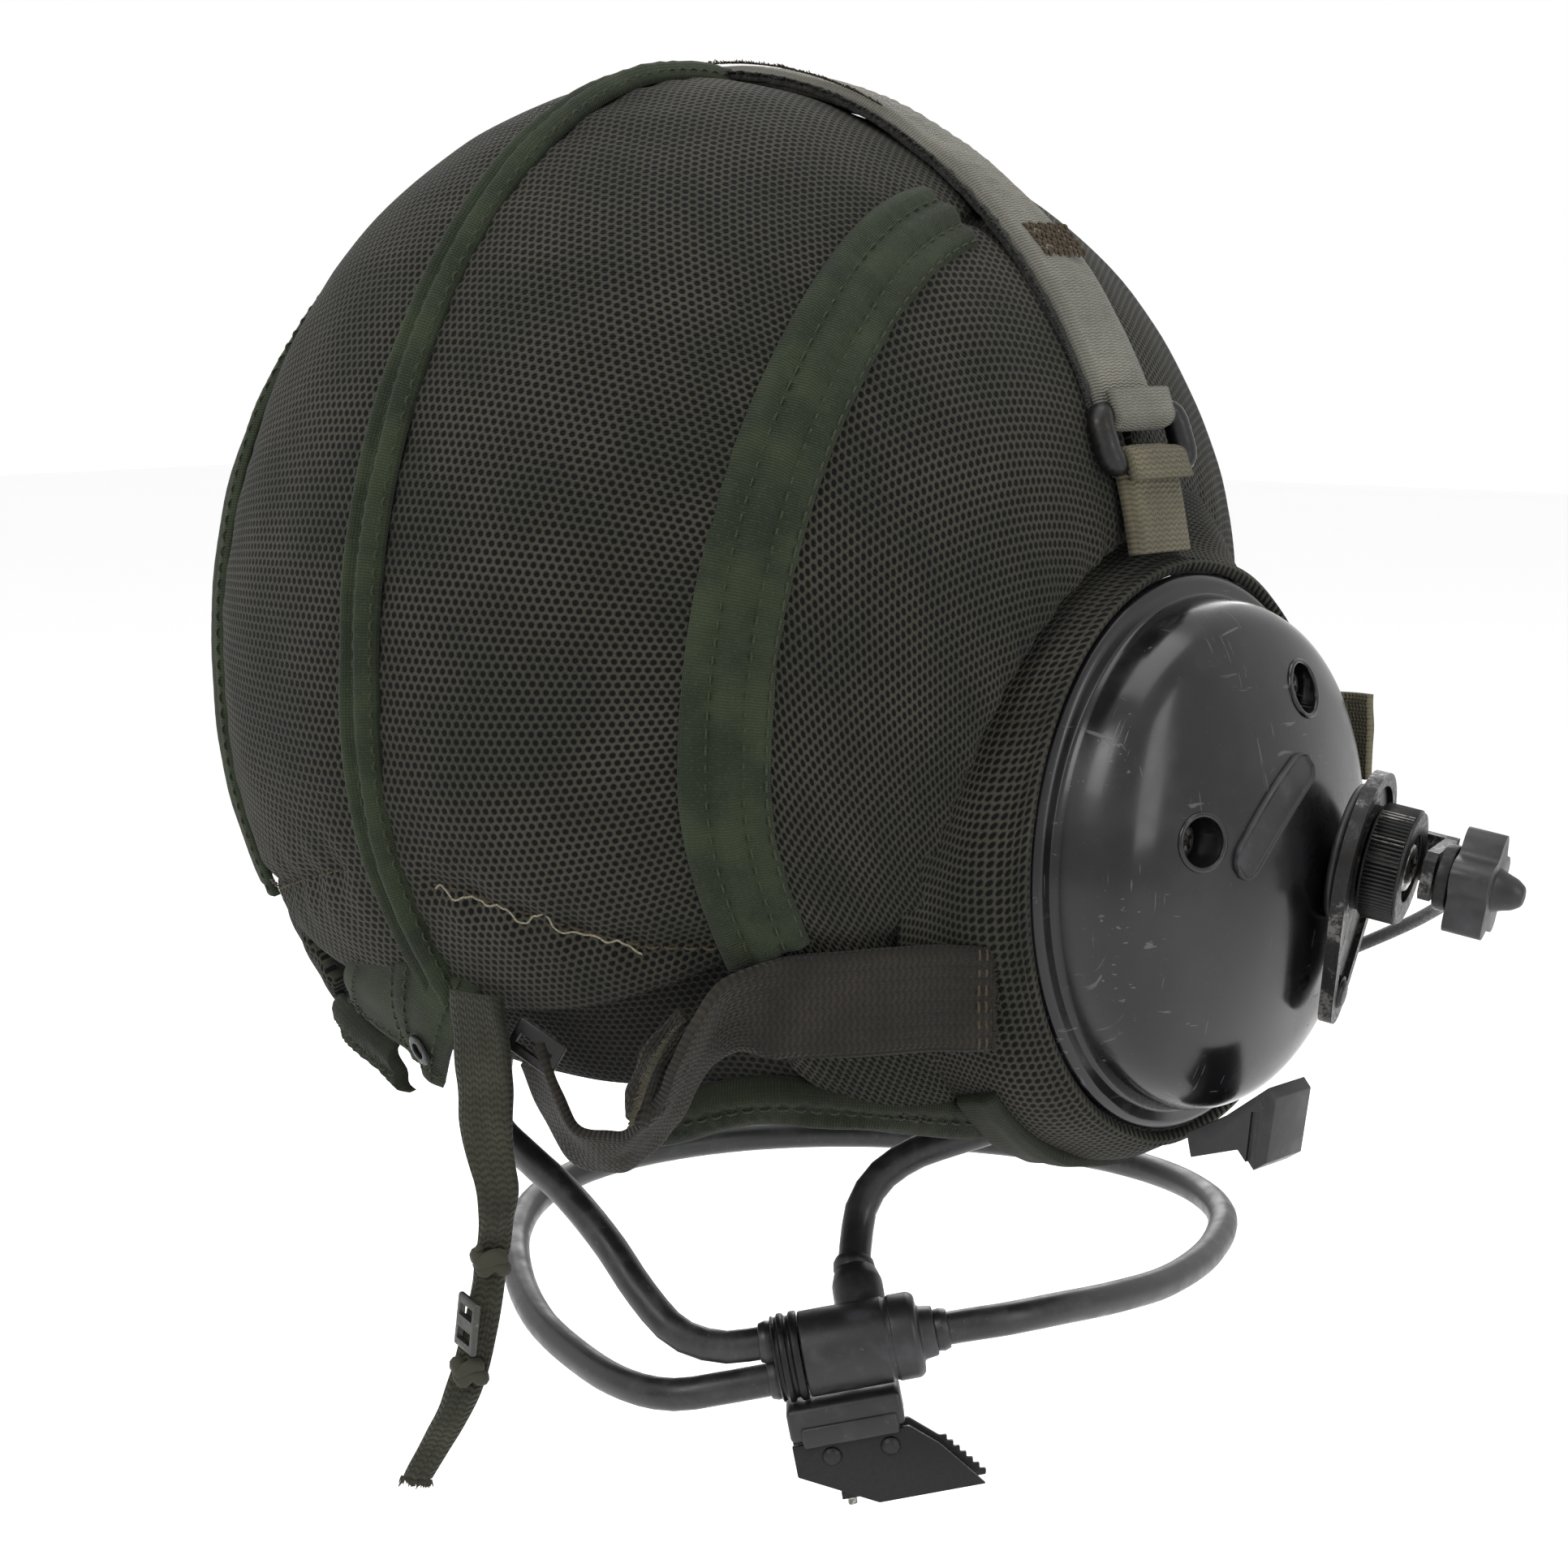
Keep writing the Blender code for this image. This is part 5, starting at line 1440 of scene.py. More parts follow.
NAPE_STRAP, nape_cloth = ribbon("nape_webbing", (
    ((-0.0905, 0.0512, -0.0203), (0.0, 0.0, 0.0185)),
    ((-0.0878, 0.0549, -0.0203), (0.0, 0.0, 0.0185)),
    ((-0.0840, 0.0606, -0.0199), (0.0, 0.0, 0.0185)),
    ((-0.0784, 0.0692, -0.0200), (0.0, 0.0, 0.0185)),
    ((-0.0720, 0.0770, -0.0202), (0.0, 0.0, 0.0180)),
    ((-0.0673, 0.0832, -0.0204), (0.001, -0.001, 0.0165)),
    ((-0.0626, 0.0894, -0.0220), (-0.0030, 0.0070, 0.0125)),
    ((-0.0564, 0.0910, -0.0300), (-0.0045, 0.0110, 0.0060)),
    ((-0.0501, 0.0910, -0.0402), (-0.0060, 0.0110, 0.0065)),
    ((-0.0402, 0.0910, -0.0488), (-0.0080, 0.0095, 0.0090)),
    ((-0.0295, 0.0920, -0.0495), (-0.0090, 0.0090, 0.0090)),
    ((-0.0228, 0.0930, -0.0425), (-0.0100, 0.0075, 0.0070)),
    ((-0.0200, 0.0950, -0.0330), (-0.0090, 0.0050, 0.0060)),
), 16, 190, 0.0016, NAPE, ("nape_strap",), 0.0009, 3.0, 0.0006)
# The strap's raw sewn end, its stitching, and the bunched frayed end beside the loop
lines = []
for j in (4, 9):
    lines.append(([p + n * 0.0003 for p, n in zip(nape_cloth.rows[j], nape_cloth.normals[j])],
                  nape_cloth.normals[j]))
stitched("nape_webbing_stitches", lines, BROWN_THREAD)
fringe("nape_webbing_frayed_end", nape_cloth.rows[0], nape_cloth.normals[0],
       lambda point, along, normal: Vector((-0.55, -0.83, 0.0)), 150, 0.0014, NAPE, 2.0, 0.0002)
_, bunch_cloth = ribbon("nape_bunched_end", (
    ((-0.0560, 0.0925, -0.0225), (0.004, 0.002, 0.005)),
    ((-0.0540, 0.0950, -0.0265), (0.008, 0.003, 0.003)),
    ((-0.0518, 0.0965, -0.0315), (0.009, 0.003, 0.002)),
    ((-0.0498, 0.0970, -0.0365), (0.007, 0.003, 0.003)),
    ((-0.0484, 0.0970, -0.0400), (0.004, 0.002, 0.002)),
), 12, 50, 0.0030, NAPE, (), 0.0032, 8.0, -0.0012)
fringe("nape_bunched_fibres", [row[6] + n[6] * 0.0012 for row,
                               n in zip(bunch_cloth.rows, bunch_cloth.normals)],
       [n[6] for n in bunch_cloth.normals], lambda point, along,
       normal: (normal + Vector((0.3, 0.0, 0.2))).normalized(),
       260, 0.0022, thread("frayed webbing yarn", (0.050, 0.045, 0.029)), 6.0, 0.00022, 0.9)
plate = baked(box_mesh((-0.0052, -0.0034, -0.0006), (0.0052, 0.0034, 0.0006)),
              rounded_edges(0.0006))
plate = cut_with(plate, [box_mesh((-0.0036, -0.0007, -0.002), (0.0036, 0.0016, 0.002))])
add("nape_small_buckle", moved(plate, frame_on(Vector((-0.0234, 0.0965, -0.0307)),
                                               (-0.35, 0.92, 0.05), (0.85, 0.2, 0.5))),
    WORN)

TAIL_STRAP, tail_cloth = ribbon("tail_webbing", (
    ((-0.0128, 0.1020, -0.0215), (-0.0125, 0.0, 0.0)),
    ((-0.0168, 0.1042, -0.0330), (-0.0115, -0.0020, 0.0)),
    ((-0.0184, 0.1046, -0.0462), (-0.0085, -0.0045, 0.0)),
    ((-0.0208, 0.1036, -0.0580), (-0.0034, -0.0068, 0.0)),
    ((-0.0180, 0.1034, -0.0705), (-0.0055, -0.0030, 0.001)),
    ((-0.0161, 0.1045, -0.0825), (-0.0058, -0.0030, -0.001)),
    ((-0.0122, 0.1060, -0.0960), (-0.0064, -0.0030, 0.0)),
    ((-0.0030, 0.1080, -0.1120), (-0.0058, -0.0020, 0.0)),
), 10, 130, 0.0016, TAIL, ("tail_strap",), 0.0010, 5.0, 0.0004)
fringe("tail_frayed_end", tail_cloth.rows[-1], tail_cloth.normals[-1],
       lambda point, along, normal: Vector((0.15, 0.1, -0.98)), 70, 0.0020, TAIL, 9.0, 0.00022)


def knot(name, centre, radius, material, turns=2.2, squash=0.75):
    """Webbing pulled into a small knot."""
    points = []
    for step in range(61):
        a = 2 * math.pi * turns * step / 60
        points.append(centre + Vector((radius * math.cos(a) * (1 + 0.25 * math.sin(2.3 * a)),
                                       radius * squash * math.sin(a),
                                       radius * (1.5 * step / 60 - 0.75) + 0.0006
                                       * math.sin(3 * a))))
    return add(name, tube(points, lambda t: 0.0016
                          * math.sin(math.pi * min(max(t, 0.06), 0.94)) ** 0.4, 10), material,
               angle=0)


knot("tail_knot_upper", Vector((-0.0184, 0.1036, -0.0690)), 0.0024, TAIL)
knot("tail_knot_lower", Vector((-0.0142, 0.1052, -0.0900)), 0.0022, TAIL, 1.8)
plate = baked(box_mesh((-0.0050, -0.0036, -0.0006), (0.0050, 0.0036, 0.0006)),
              rounded_edges(0.0005))
plate = cut_with(plate, [box_mesh((0.0011, -0.0024, -0.002), (0.0034, 0.0024, 0.002)),
                         box_mesh((-0.0034, -0.0024, -0.002), (-0.0011, 0.0024, 0.002))])
GREY = painted_metal("grey buckle paint", (0.055, 0.055, 0.051), (0.20, 0.19, 0.17), 0.60)
add("tail_bar_buckle", moved(plate, frame_on(Vector((-0.0160, 0.1072, -0.0806)),
                                             (0.30, 0.95, 0.05), (-0.14, 0.0, 1.0))),
    GREY, nodes=("tail_buckle",))


# Pads, made of foam and puffed by the cloth solver
def pad_mesh(point_at, across, along, thickness):
    return Cloth(point_at, across, along).mesh("pad", thickness, None, inner=1.0)


def puffed(mesh, limit, pressure=4.0, voxel=0.0045):
    """The mesh filled by Cloth with pressure, its points moved no further than the limit."""
    shaped = baked(mesh, ("REMESH", {"mode": "VOXEL", "voxel_size": voxel}))
    work = bpy.data.objects.new("puff", shaped)
    bpy.context.scene.collection.objects.link(work)
    rest = [v.co.copy() for v in shaped.vertices]
    cloth = work.modifiers.new("cloth", "CLOTH")
    cloth.settings.use_pressure = True
    cloth.settings.uniform_pressure_force = pressure
    cloth.settings.effector_weights.gravity = 0.0
    cloth.settings.quality = 5
    scene = bpy.context.scene
    for step in range(1, 21):
        scene.frame_set(step)
    result = bpy.data.meshes.new_from_object(work.evaluated_get(bpy.context.evaluated_depsgraph_get()))
    scene.frame_set(1)
    bpy.data.objects.remove(work, do_unlink=True)
    for vert, home in zip(result.vertices, rest):
        move = vert.co - home
        if move.length > limit:
            vert.co = home + move.normalized() * limit
    return baked(result, ("SUBSURF", {"levels": 1, "render_levels": 1}))


def crown_point(u, v):
    sideways = -29.0 + 58.0 * u
    return cap_point(cap_direction(1, sideways, 75.0 + 24.0 * v), -0.0042)


def nape_point(u, v):
    return cap_point(cap_direction(1, -26.0 + 52.0 * u, 211.5 + 14.0 * v), -0.0046)


for name, point_at, thick, node in (("crown_cushion", crown_point, 0.0048, "crown_pad"),
                                    ("nape_cushion", nape_point, 0.0034, "nape_pad")):
    obj = add(name, puffed(pad_mesh(point_at, 40, 16, thick), 0.0014), PAD, nodes=(node,),
              angle=0)


# Ear cups

SHELL_OUTER = ((0.0, 0.0268), (0.0100, 0.0256), (0.0220, 0.0228), (0.0320, 0.0200),
               (0.0390, 0.0176),
               (0.0440, 0.0146), (0.0466, 0.0100), (0.0474, 0.0040))
SHELL_LIP = ((0.0478, 0.0032), (0.0503, 0.0030), (0.0515, 0.0019), (0.0515, 0.0))
SHELL_INNER = ((0.0455, 0.0), (0.0440, 0.0040), (0.0410, 0.0090), (0.0360, 0.0125),
               (0.0220, 0.0148), (0.0, 0.0160))
SHELL_CURVE = [spline_point([Vector((r, z, 0.0)) for r, z in SHELL_OUTER], i / 48)
               for i in range(49)]


PILL_BOW = 0.0021


def cup_frame(side):
    return frame_on(Vector((side * CUP_PLANE, 0.0, 0.0)), (side, 0.0, 0.0))


def shell_height(y, z):
    r = math.hypot(y / CUP_OVAL, z)
    for first, second in zip(SHELL_CURVE, SHELL_CURVE[1:]):
        if second.x >= r:
            t = (r - first.x) / max(second.x - first.x, 1e-9)
            return first.y + (second.y - first.y) * t
    return SHELL_CURVE[-1].y


def shell_point(side, y, z, lift=0.0):
    step = 0.0004
    h = shell_height(y, z)
    normal = Vector((1.0, -(shell_height(y + step, z) - h) / step,
                     -(shell_height(y, z + step) - h) / step)).normalized()
    return (Vector((side * (CUP_PLANE + h), y, z)) + Vector((side * normal.x, normal.y, normal.z))
            * lift,
            Vector((side * normal.x, normal.y, normal.z)))


def cross_screw(radius, height):
    """Pan-head screw with a cross recess; local Z outward from its seat at 0."""
    head = turned(softened([(0.0, height), (radius * 0.55, height * 0.96),
                            (radius * 0.92, height * 0.62),
                            (radius, height * 0.2), (radius, 0.0), (0.0, 0.0)], 0.0003), 48)
    arm, wide = radius * 0.58, radius * 0.16
    cutters = [box_mesh((-arm, -wide, height * 0.35), (arm, wide, height * 2)),
               box_mesh((-wide, -arm, height * 0.35), (wide, arm, height * 2))]
    return cut_with(head, cutters)


for side, word in WORDS:
    frame_here = cup_frame(side)
    profile = [(p.x, p.y) for p in SHELL_CURVE] + softened(
        [(SHELL_CURVE[-1].x, SHELL_CURVE[-1].y)] + list(SHELL_LIP) + [SHELL_INNER[0]],
        0.0006)[1:-1] + list(SHELL_INNER)
    shell = moved(turned(profile, 160, CUP_OVAL), frame_here)
    cutters = []
    for (y, z), depth in zip(SCREW_PLACES, SCREW_DEPTHS):
        axis = frame_on(Vector((side * CUP_PLANE, y, z)), (side, 0.0, 0.0))
        bore = turned(softened([(0.0, depth), (0.0044, depth), (0.0047, depth + 0.004),
                                (0.0047, 0.040), (0.0, 0.040)],
                               0.0004), 56)
        cutters.append(moved(bore, axis))
    shell = cut_with(shell, cutters)
    shell = baked(shell, ("BEVEL", {"width": 0.0005, "segments": 3, "limit_method": "ANGLE",
                                    "angle_limit": math.radians(50)}))
    add("cup_" + word, shell, GLOSS, nodes=("ear_shell_" + word,), angle=50)
    for (y, z), depth, label in zip(SCREW_PLACES, SCREW_DEPTHS, ("rear", "front")):
        seat = frame_on(Vector((side * (CUP_PLANE + depth + 0.0003), y, z)), (side, 0.0, 0.0))
        seat = seat @ Matrix.Rotation(0.5 if label == "rear" else 1.2, 4, "Z")
        add("cup_screw_head_%s_%s" % (label, word), moved(cross_screw(0.0034, 0.0018), seat), STEEL,
            nodes=("cup_screw_%s_%s" % (label, word),))
        rim = []
        for index in range(56):
            a = 2 * math.pi * index / 56
            rim.append(shell_point(side, y + 0.0049 * math.cos(a), z + 0.0049 * math.sin(a),
                                   0.0000)[0])
        add("screw_well_rim_%s_%s" % (label, word), ring_tube(rim, 0.00055, 10), GLOSS,
            angle=0)
    # Blank raised pill, as for a label
    low, high = Vector((0.0142, 0.0024)), Vector((-0.0037, 0.0163))
    along = (high - low).normalized()
    across = Vector((-along.y, along.x))
    half = 0.0035

    def pill_point(u, v):
        length = (high - low).length
        s = -half + (length + 2 * half) * v
        past = max(0.0, -s, s - length)
        wide = math.sqrt(max(half * half - past * past, 1e-10))
        spot = low + along * s + across * (wide * (2 * u - 1) - PILL_BOW
                                           * math.sin(math.pi * (s + half) / (length + 2 * half)))
        return shell_point(side, spot.x, spot.y, 0.0)[0]
    pill = Cloth(pill_point, 40, 130, Vector((0.0, 0.0, 0.0)))

    def pill_relief(i, j, point, pill=pill):
        edge = min(pill.x[j][i] - pill.x[j][0], pill.x[j][-1] - pill.x[j][i])
        ends = min(pill.y[j], pill.y[-1] - pill.y[j])
        inward = min(edge, ends)
        return 0.0001 + 0.0009 * smoothstep(inward, 0.0, 0.0003) - 0.0004 * smoothstep(inward,
                0.0007, 0.0010)
    add("raised_pill_" + word, pill.mesh("pill", 0.0008, pill_relief, inner=0.0), PLASTIC,
        angle=60)

    plate = turned(softened([(0.0500, -0.0003), (0.0500, -0.0032), (0.0165, -0.0032),
                             (0.0165, -0.0003)], 0.0006,
                            closed=True), 120, CUP_OVAL, closed=True)
    add("cup_back_plate_" + word, moved(plate, frame_here), PLASTIC, nodes=("seal_plate_" + word,))
    cushion = []
    for step in range(40):
        a = -2 * math.pi * (step + 0.5) / 40
        c, s = math.cos(a), math.sin(a)
        cushion.append((0.0340 + 0.0072 * math.copysign(abs(c) ** 0.75, c),
                        -0.0108 + 0.0072 * math.copysign(abs(s) ** 0.75, s)))
    seal = turned(cushion, 200, CUP_OVAL, closed=True)
    for vert in seal.vertices:
        turn = math.atan2(vert.co.y, vert.co.x)
        r = math.hypot(vert.co.x, vert.co.y)
        crease = 0.00035 * math.sin(46 * turn + 3 * math.sin(5 * turn)) * smoothstep(r, 0.036,
                0.041)
        crease += 0.0004 * noise.noise(Vector((turn * 3.0, r * 150.0, vert.co.z * 150.0)))
        vert.co = vert.co * (1 + crease / r)
    obj = add("ear_seal_ring_" + word, moved(seal, frame_here), SKIN, nodes=("ear_seal_" + word,),
              angle=0)
    welt = [frame_here @ Vector((0.0412 * math.cos(2 * math.pi * i / 120),
                                 0.0412 * CUP_OVAL * math.sin(
        2 * math.pi * i / 120), -0.0100)) for i in range(120)]
    add("ear_seal_welt_" + word, ring_tube(welt, 0.00055, 8), SKIN, angle=0)
    receiver = turned(softened([(0.0, 0.0090), (0.0125, 0.0090), (0.0130, 0.0080),
                                (0.0130, 0.0020), (0.0180, 0.0020),
                                (0.0180, 0.0003), (0.0135, 0.0003), (0.0135, -0.0030),
                                (0.0, -0.0030)], 0.0004), 72)
    holes = []
    for ring, count in ((0.0, 1), (0.0032, 6), (0.0064, 12), (0.0096, 16)):
        for index in range(count):
            a = 2 * math.pi * index / count
            holes.append(rod_mesh(0.0009, -0.005, -0.0018, 14,
                                  (ring * math.cos(a), ring * math.sin(a))))
    receiver = cut_with(receiver, [merged("holes", holes)])
    add("receiver_unit_" + word, moved(receiver, frame_here), METAL, nodes=("receiver_" + word,))
    liner = turned(softened([(0.0350, 0.0110), (0.0400, 0.0060), (0.0400, 0.0006),
                             (0.0225, 0.0006), (0.0225, 0.0110)],
                            0.0012, closed=True), 96, CUP_OVAL, closed=True)
    liner = baked(liner, ("SUBSURF", {"levels": 1, "render_levels": 1}))
    obj = add("cup_foam_" + word, moved(liner, frame_here), FOAM, nodes=("foam_liner_" + word,),
              angle=0)
    centre_here = Vector((side * GLAND_CENTRE.x, GLAND_CENTRE.y, GLAND_CENTRE.z))
    axis = Vector((side * GLAND_AXIS.x, GLAND_AXIS.y, GLAND_AXIS.z))
    ribs = [(0.0, 0.0045), (0.0033, 0.0045)]
    for index in range(6):
        z = 0.0038 - 0.0014 * index
        ribs += [(0.0039, z), (0.0039, z - 0.0006), (0.0034, z - 0.0008), (0.0034, z - 0.0012)]
    ribs += [(0.0039, -0.0045), (0.0, -0.0045)]
    add("cable_boot_" + word, moved(turned(softened(ribs, 0.00015, 2), 40),
                                    frame_on(centre_here, axis)), RUBBER,
        nodes=("cable_gland_" + word,))


# Boom pivot and microphone, on the wearer's right cup

HUB = frame_on(HUB_CENTRE, HUB_AXIS)


def gear_outline(radius, depth, teeth, sharp=0.5, per=8):
    outline = []
    for step in range(teeth * per):
        a = 2 * math.pi * step / (teeth * per)
        tooth = 0.5 + 0.5 * math.cos(teeth * a)
        outline.append(((radius - depth * (1 - tooth ** sharp)) * math.cos(a),
                        (radius - depth * (1 - tooth ** sharp)) * math.sin(a)))
    return outline


hub = turned(softened([(0.0, 0.0104), (0.0050, 0.0104), (0.0058, 0.0098), (0.0058, 0.0012),
                       (0.0120, 0.0012),
                       (0.0120, 0.0), (0.0, 0.0)], 0.0003), 72)
add("hub_boss", moved(hub, HUB), METAL, nodes=("pivot_hub",))
seat = []
for index in range(64):
    a = 2 * math.pi * index / 64
    seat.append(HUB @ Vector((0.0122 * math.cos(a), 0.0122 * math.sin(a), 0.0002)))
add("hub_seat", ring_tube(seat, 0.0009, 10), PLASTIC, angle=0)


def teardrop(radius, drop, tip, steps=60, inset=0.0):
    points = []
    for step in range(steps + 1):
        a = math.radians(-118.0 + 236.0 * step / steps)
        points.append(((radius - inset) * math.cos(a), (radius - inset) * math.sin(a)))
    for step in range(13):
        a = math.radians(125.0 + 110.0 * step / 12)
        points.append((-drop + tip + (tip - inset) * math.cos(a), (tip - inset) * math.sin(a)))
    return points


plate = extruded(teardrop(0.0160, 0.0320, 0.0050), 0.0016, 0.0042)
plate = cut_with(plate, [rod_mesh(0.0062, -0.001, 0.008),
                         rod_mesh(0.0016, -0.001, 0.008, 24, (-0.0262, 0.0)),
                         cut_with(extruded(teardrop(0.0160, 0.0320, 0.0050, inset=0.0024), 0.0032,
                                           0.0080),
                                  [rod_mesh(0.0098, 0.0, 0.010),
                                   rod_mesh(0.0034, 0.0, 0.010, 24, (-0.0262, 0.0))])])
arm = extruded([(-0.0045, -0.0162), (0.0045, -0.0162), (0.0045, -0.0132), (-0.0045, -0.0132)],
               0.0030, 0.0168)
bridge = extruded([(-0.0045, -0.0160), (0.0045, -0.0160), (0.0045, 0.0030), (0.0030, 0.0045),
                   (-0.0030, 0.0045),
                   (-0.0045, 0.0030)], 0.0146, 0.0168)
post = box_mesh((-0.0018, -0.0018, 0.0160), (0.0018, 0.0018, 0.0216))
bracket = baked(united(plate, arm, bridge, post), rounded_edges(0.0005, 3, 35))
add("boom_plate", moved(bracket, HUB), METAL, "boom_bracket", ("boom_bracket",), 45)
teeth = extruded(gear_outline(0.0094, 0.0007, 40), 0.0033, 0.0041)
teeth = cut_with(teeth, [rod_mesh(0.0064, 0.0, 0.010)])
add("boom_plate_teeth", moved(teeth, HUB), WORN, "boom_bracket")
PLATE_RIVET_REACH = 0.0262
rivet = turned(softened([(0.0, 0.0052), (0.0022, 0.0050), (0.0028, 0.0044), (0.0028, 0.0036),
                         (0.0, 0.0036)], 0.0003), 36)
add("boom_plate_rivet", moved(rivet, HUB @ Matrix.Translation((-PLATE_RIVET_REACH, 0.0, 0.0))),
    WORN, "boom_bracket")
BRIDGE_PINS = ((0.0026, -0.0149), (-0.0026, -0.0149))
PIN_TOP = 0.01705
for number, (x, y) in enumerate(BRIDGE_PINS):
    pin = turned(softened([(0.0, PIN_TOP), (0.0010, 0.0170), (0.0013, 0.0168), (0.0013, 0.0162),
                           (0.0, 0.0162)], 0.0002), 24)
    add("bridge_pin_%d" % (number + 1), moved(pin, HUB @ Matrix.Translation((x, y, 0.0))), STEEL,
        "boom_bracket")

knob = extruded(gear_outline(0.0108, 0.0005, 84, 0.6, 6), 0.0052, 0.0114)
knob = cut_with(knob, [rod_mesh(0.0062, 0.003, 0.014)])
knob = baked(knob, ("BEVEL", {"width": 0.0003, "segments": 2, "limit_method": "ANGLE",
                              "angle_limit": math.radians(60)}))
add("knurled_ring", moved(knob, HUB), WORN, "knurled_knob", ("knurled_knob",), 40)
KNURL_LIPS = ((0.0047, 0.0053), (0.0113, 0.0120))
for number, (low, high) in enumerate(KNURL_LIPS):
    collar = turned(softened([(0.0063, low), (0.0104, low), (0.0104, high), (0.0063, high)],
                             0.0002, closed=True), 80,
                    closed=True)
    add("knurled_ring_lip_%d" % (number + 1), moved(collar, HUB), WORN, "knurled_knob")
screw = cross_screw(0.0046, 0.0017)
add("knob_screw_head", moved(screw, HUB @ Matrix.Translation((0.0, 0.0,
        0.0107)) @ Matrix.Rotation(0.4, 4, "Z")), STEEL,
    nodes=("knob_screw",))


def star_outline(radius, dip, lobes, inset=0.0):
    outline = []
    for step in range(24 * lobes):
        a = 2 * math.pi * step / (24 * lobes)
        r = radius - dip * (1 - math.cos(lobes * a)) - inset
        outline.append((r * math.cos(a), r * math.sin(a)))
    return outline


star = extruded(star_outline(0.0102, 0.0014, 5), 0.0205, 0.0277)
hollow = cut_with(extruded(star_outline(0.0102, 0.0014, 5, 0.0018), 0.0181, 0.0243),
                  [rod_mesh(0.0046, 0.0, 0.04)])
webs = []
for index in range(5):
    web = box_mesh((0.0, -0.0005, 0.0), (0.0120, 0.0005, 0.0400))
    webs.append(moved(web, Matrix.Rotation(2 * math.pi * (index + 0.5) / 5, 4, "Z")))
hollow = cut_with(hollow, webs)
star = cut_with(star, [hollow, rod_mesh(0.0032, 0.0181, 0.0231, 36)])
stub = turned(softened([(0.0, 0.0331), (0.0018, 0.0328), (0.0029, 0.0312), (0.0035, 0.0292),
                        (0.0045, 0.0270),
                        (0.0050, 0.0251), (0.0, 0.0251)], 0.0006), 48)
star = united(star, stub)
star = baked(star, ("BEVEL", {"width": 0.0006, "segments": 3, "limit_method": "ANGLE",
                              "angle_limit": math.radians(50)}))
add("star_grip", moved(star, HUB), PLASTIC, "star_knob", ("star_knob",), 45)

eye = turned(softened([(0.0033, 0.0174), (0.0062, 0.0174), (0.0062, 0.0200), (0.0033, 0.0200)],
                      0.0004, closed=True), 56,
             closed=True)
start = HUB_CENTRE + HUB_AXIS * 0.0187
forward = Vector((0.41, -0.90, -0.10)).normalized()
forward = (forward - HUB_AXIS * forward.dot(HUB_AXIS)).normalized()
rod = tube(even_route((start + forward * 0.0056, start + forward * 0.0120, start + forward * 0.0220,
                       (-0.1175, -0.0640, -0.0110), (-0.1060, -0.0850, -0.0180),
                       (-0.0890, -0.1010, -0.0270),
                       (-0.0680, -0.1120, -0.0370), BOOM_TIP), 0.0012), 0.00144, 16)
add("boom_eye", moved(eye, HUB), METAL, "boom_arm", ("boom_arm",))
add("boom_rod", rod, METAL, "boom_arm")
sleeve_points = even_route([start + forward * d for d in (0.0058, 0.0080, 0.0105, 0.0130)], 0.0006)
add("boom_ferrule", tube(sleeve_points, lambda t: 0.0024 - 0.0007 * t * t, 20), WORN, "boom_arm")

MIC = frame_on(BOOM_TIP + Vector((0.0112, -0.0020, -0.0050)), (0.25, 0.968, 0.0))
body = turned(softened([(0.0, 0.0050), (0.0080, 0.0050), (0.0095, 0.0036), (0.0095, -0.0040),
                        (0.0076, -0.0056),
                        (0.0, -0.0060)], 0.0008), 72)
slots = [box_mesh((-0.0008 + x, -half, -0.0090), (0.0008 + x, half, -0.0048))
         for x, half in ((-0.0044, 0.0030), (-0.0022, 0.0044), (0.0, 0.0050), (0.0022, 0.0044),
                         (0.0044, 0.0030))]
body = cut_with(body, slots)
body = cut_with(body, [cut_with(rod_mesh(0.0120, -0.0006, 0.0006),
                                [rod_mesh(0.0090, -0.01, 0.01)])])
add("microphone_case", moved(body, MIC), PLASTIC, "microphone", ("microphone",),
    35)
screen = turned(softened([(0.0, 0.0100), (0.0060, 0.0092), (0.0092, 0.0072), (0.0096, 0.0058),
                          (0.0, 0.0058)], 0.0012), 64)
for vert in screen.vertices:
    vert.co += vert.co.normalized() * 0.00015 * noise.noise(vert.co * 900.0)
obj = add("microphone_foam", moved(screen, MIC), FOAM, "microphone", ("mic_windscreen",),
          0)
clamp = turned(softened([(0.0, 0.0034), (0.0026, 0.0034), (0.0030, 0.0), (0.0026, -0.0034),
                         (0.0, -0.0034)], 0.0004), 32)
add("microphone_pivot", moved(clamp, Matrix.Translation(BOOM_TIP)), METAL, "microphone")
link = tube(even_route((BOOM_TIP, BOOM_TIP + Vector((0.0016, -0.0006, -0.0016)),
                        BOOM_TIP + Vector((0.0036, -0.0012, -0.0030))),
                       0.0006), 0.0016, 14)
add("microphone_lug", link, PLASTIC, "microphone")

# Hook under the cup, strap tab in front of it
hook = [(0.0500, 0.0090), (0.0455, 0.0175), (0.0390, 0.0265), (0.0408, 0.0280), (0.0530, 0.0262),
        (0.0550, 0.0230),
        (0.0515, 0.0200), (0.0545, 0.0100)]
hook_frame = frame_on(Vector((-CUP_PLANE, 0.0035, 0.0)), (0.0, -1.0, 0.0), (0.0, 0.0, 1.0))
block = extruded([(-down, out) for down, out in hook], -0.0060, 0.0060)
groove = extruded([(-0.0560, 0.0215), (-0.0560, 0.0232), (-0.0440, 0.0245), (-0.0440, 0.0228)],
                  -0.0070, -0.0052)
block = baked(cut_with(block, [groove]), rounded_edges(0.0009, 4, 30))
add("under_hook", moved(block, hook_frame), PLASTIC, nodes=("lower_hook",),
    angle=40)


def tab_point(u, v):
    return Vector((-0.1087 + 0.0080 * v, -0.0458 - 0.0010 * math.sin(3.0 * v), 0.0098 + 0.0164 * u))


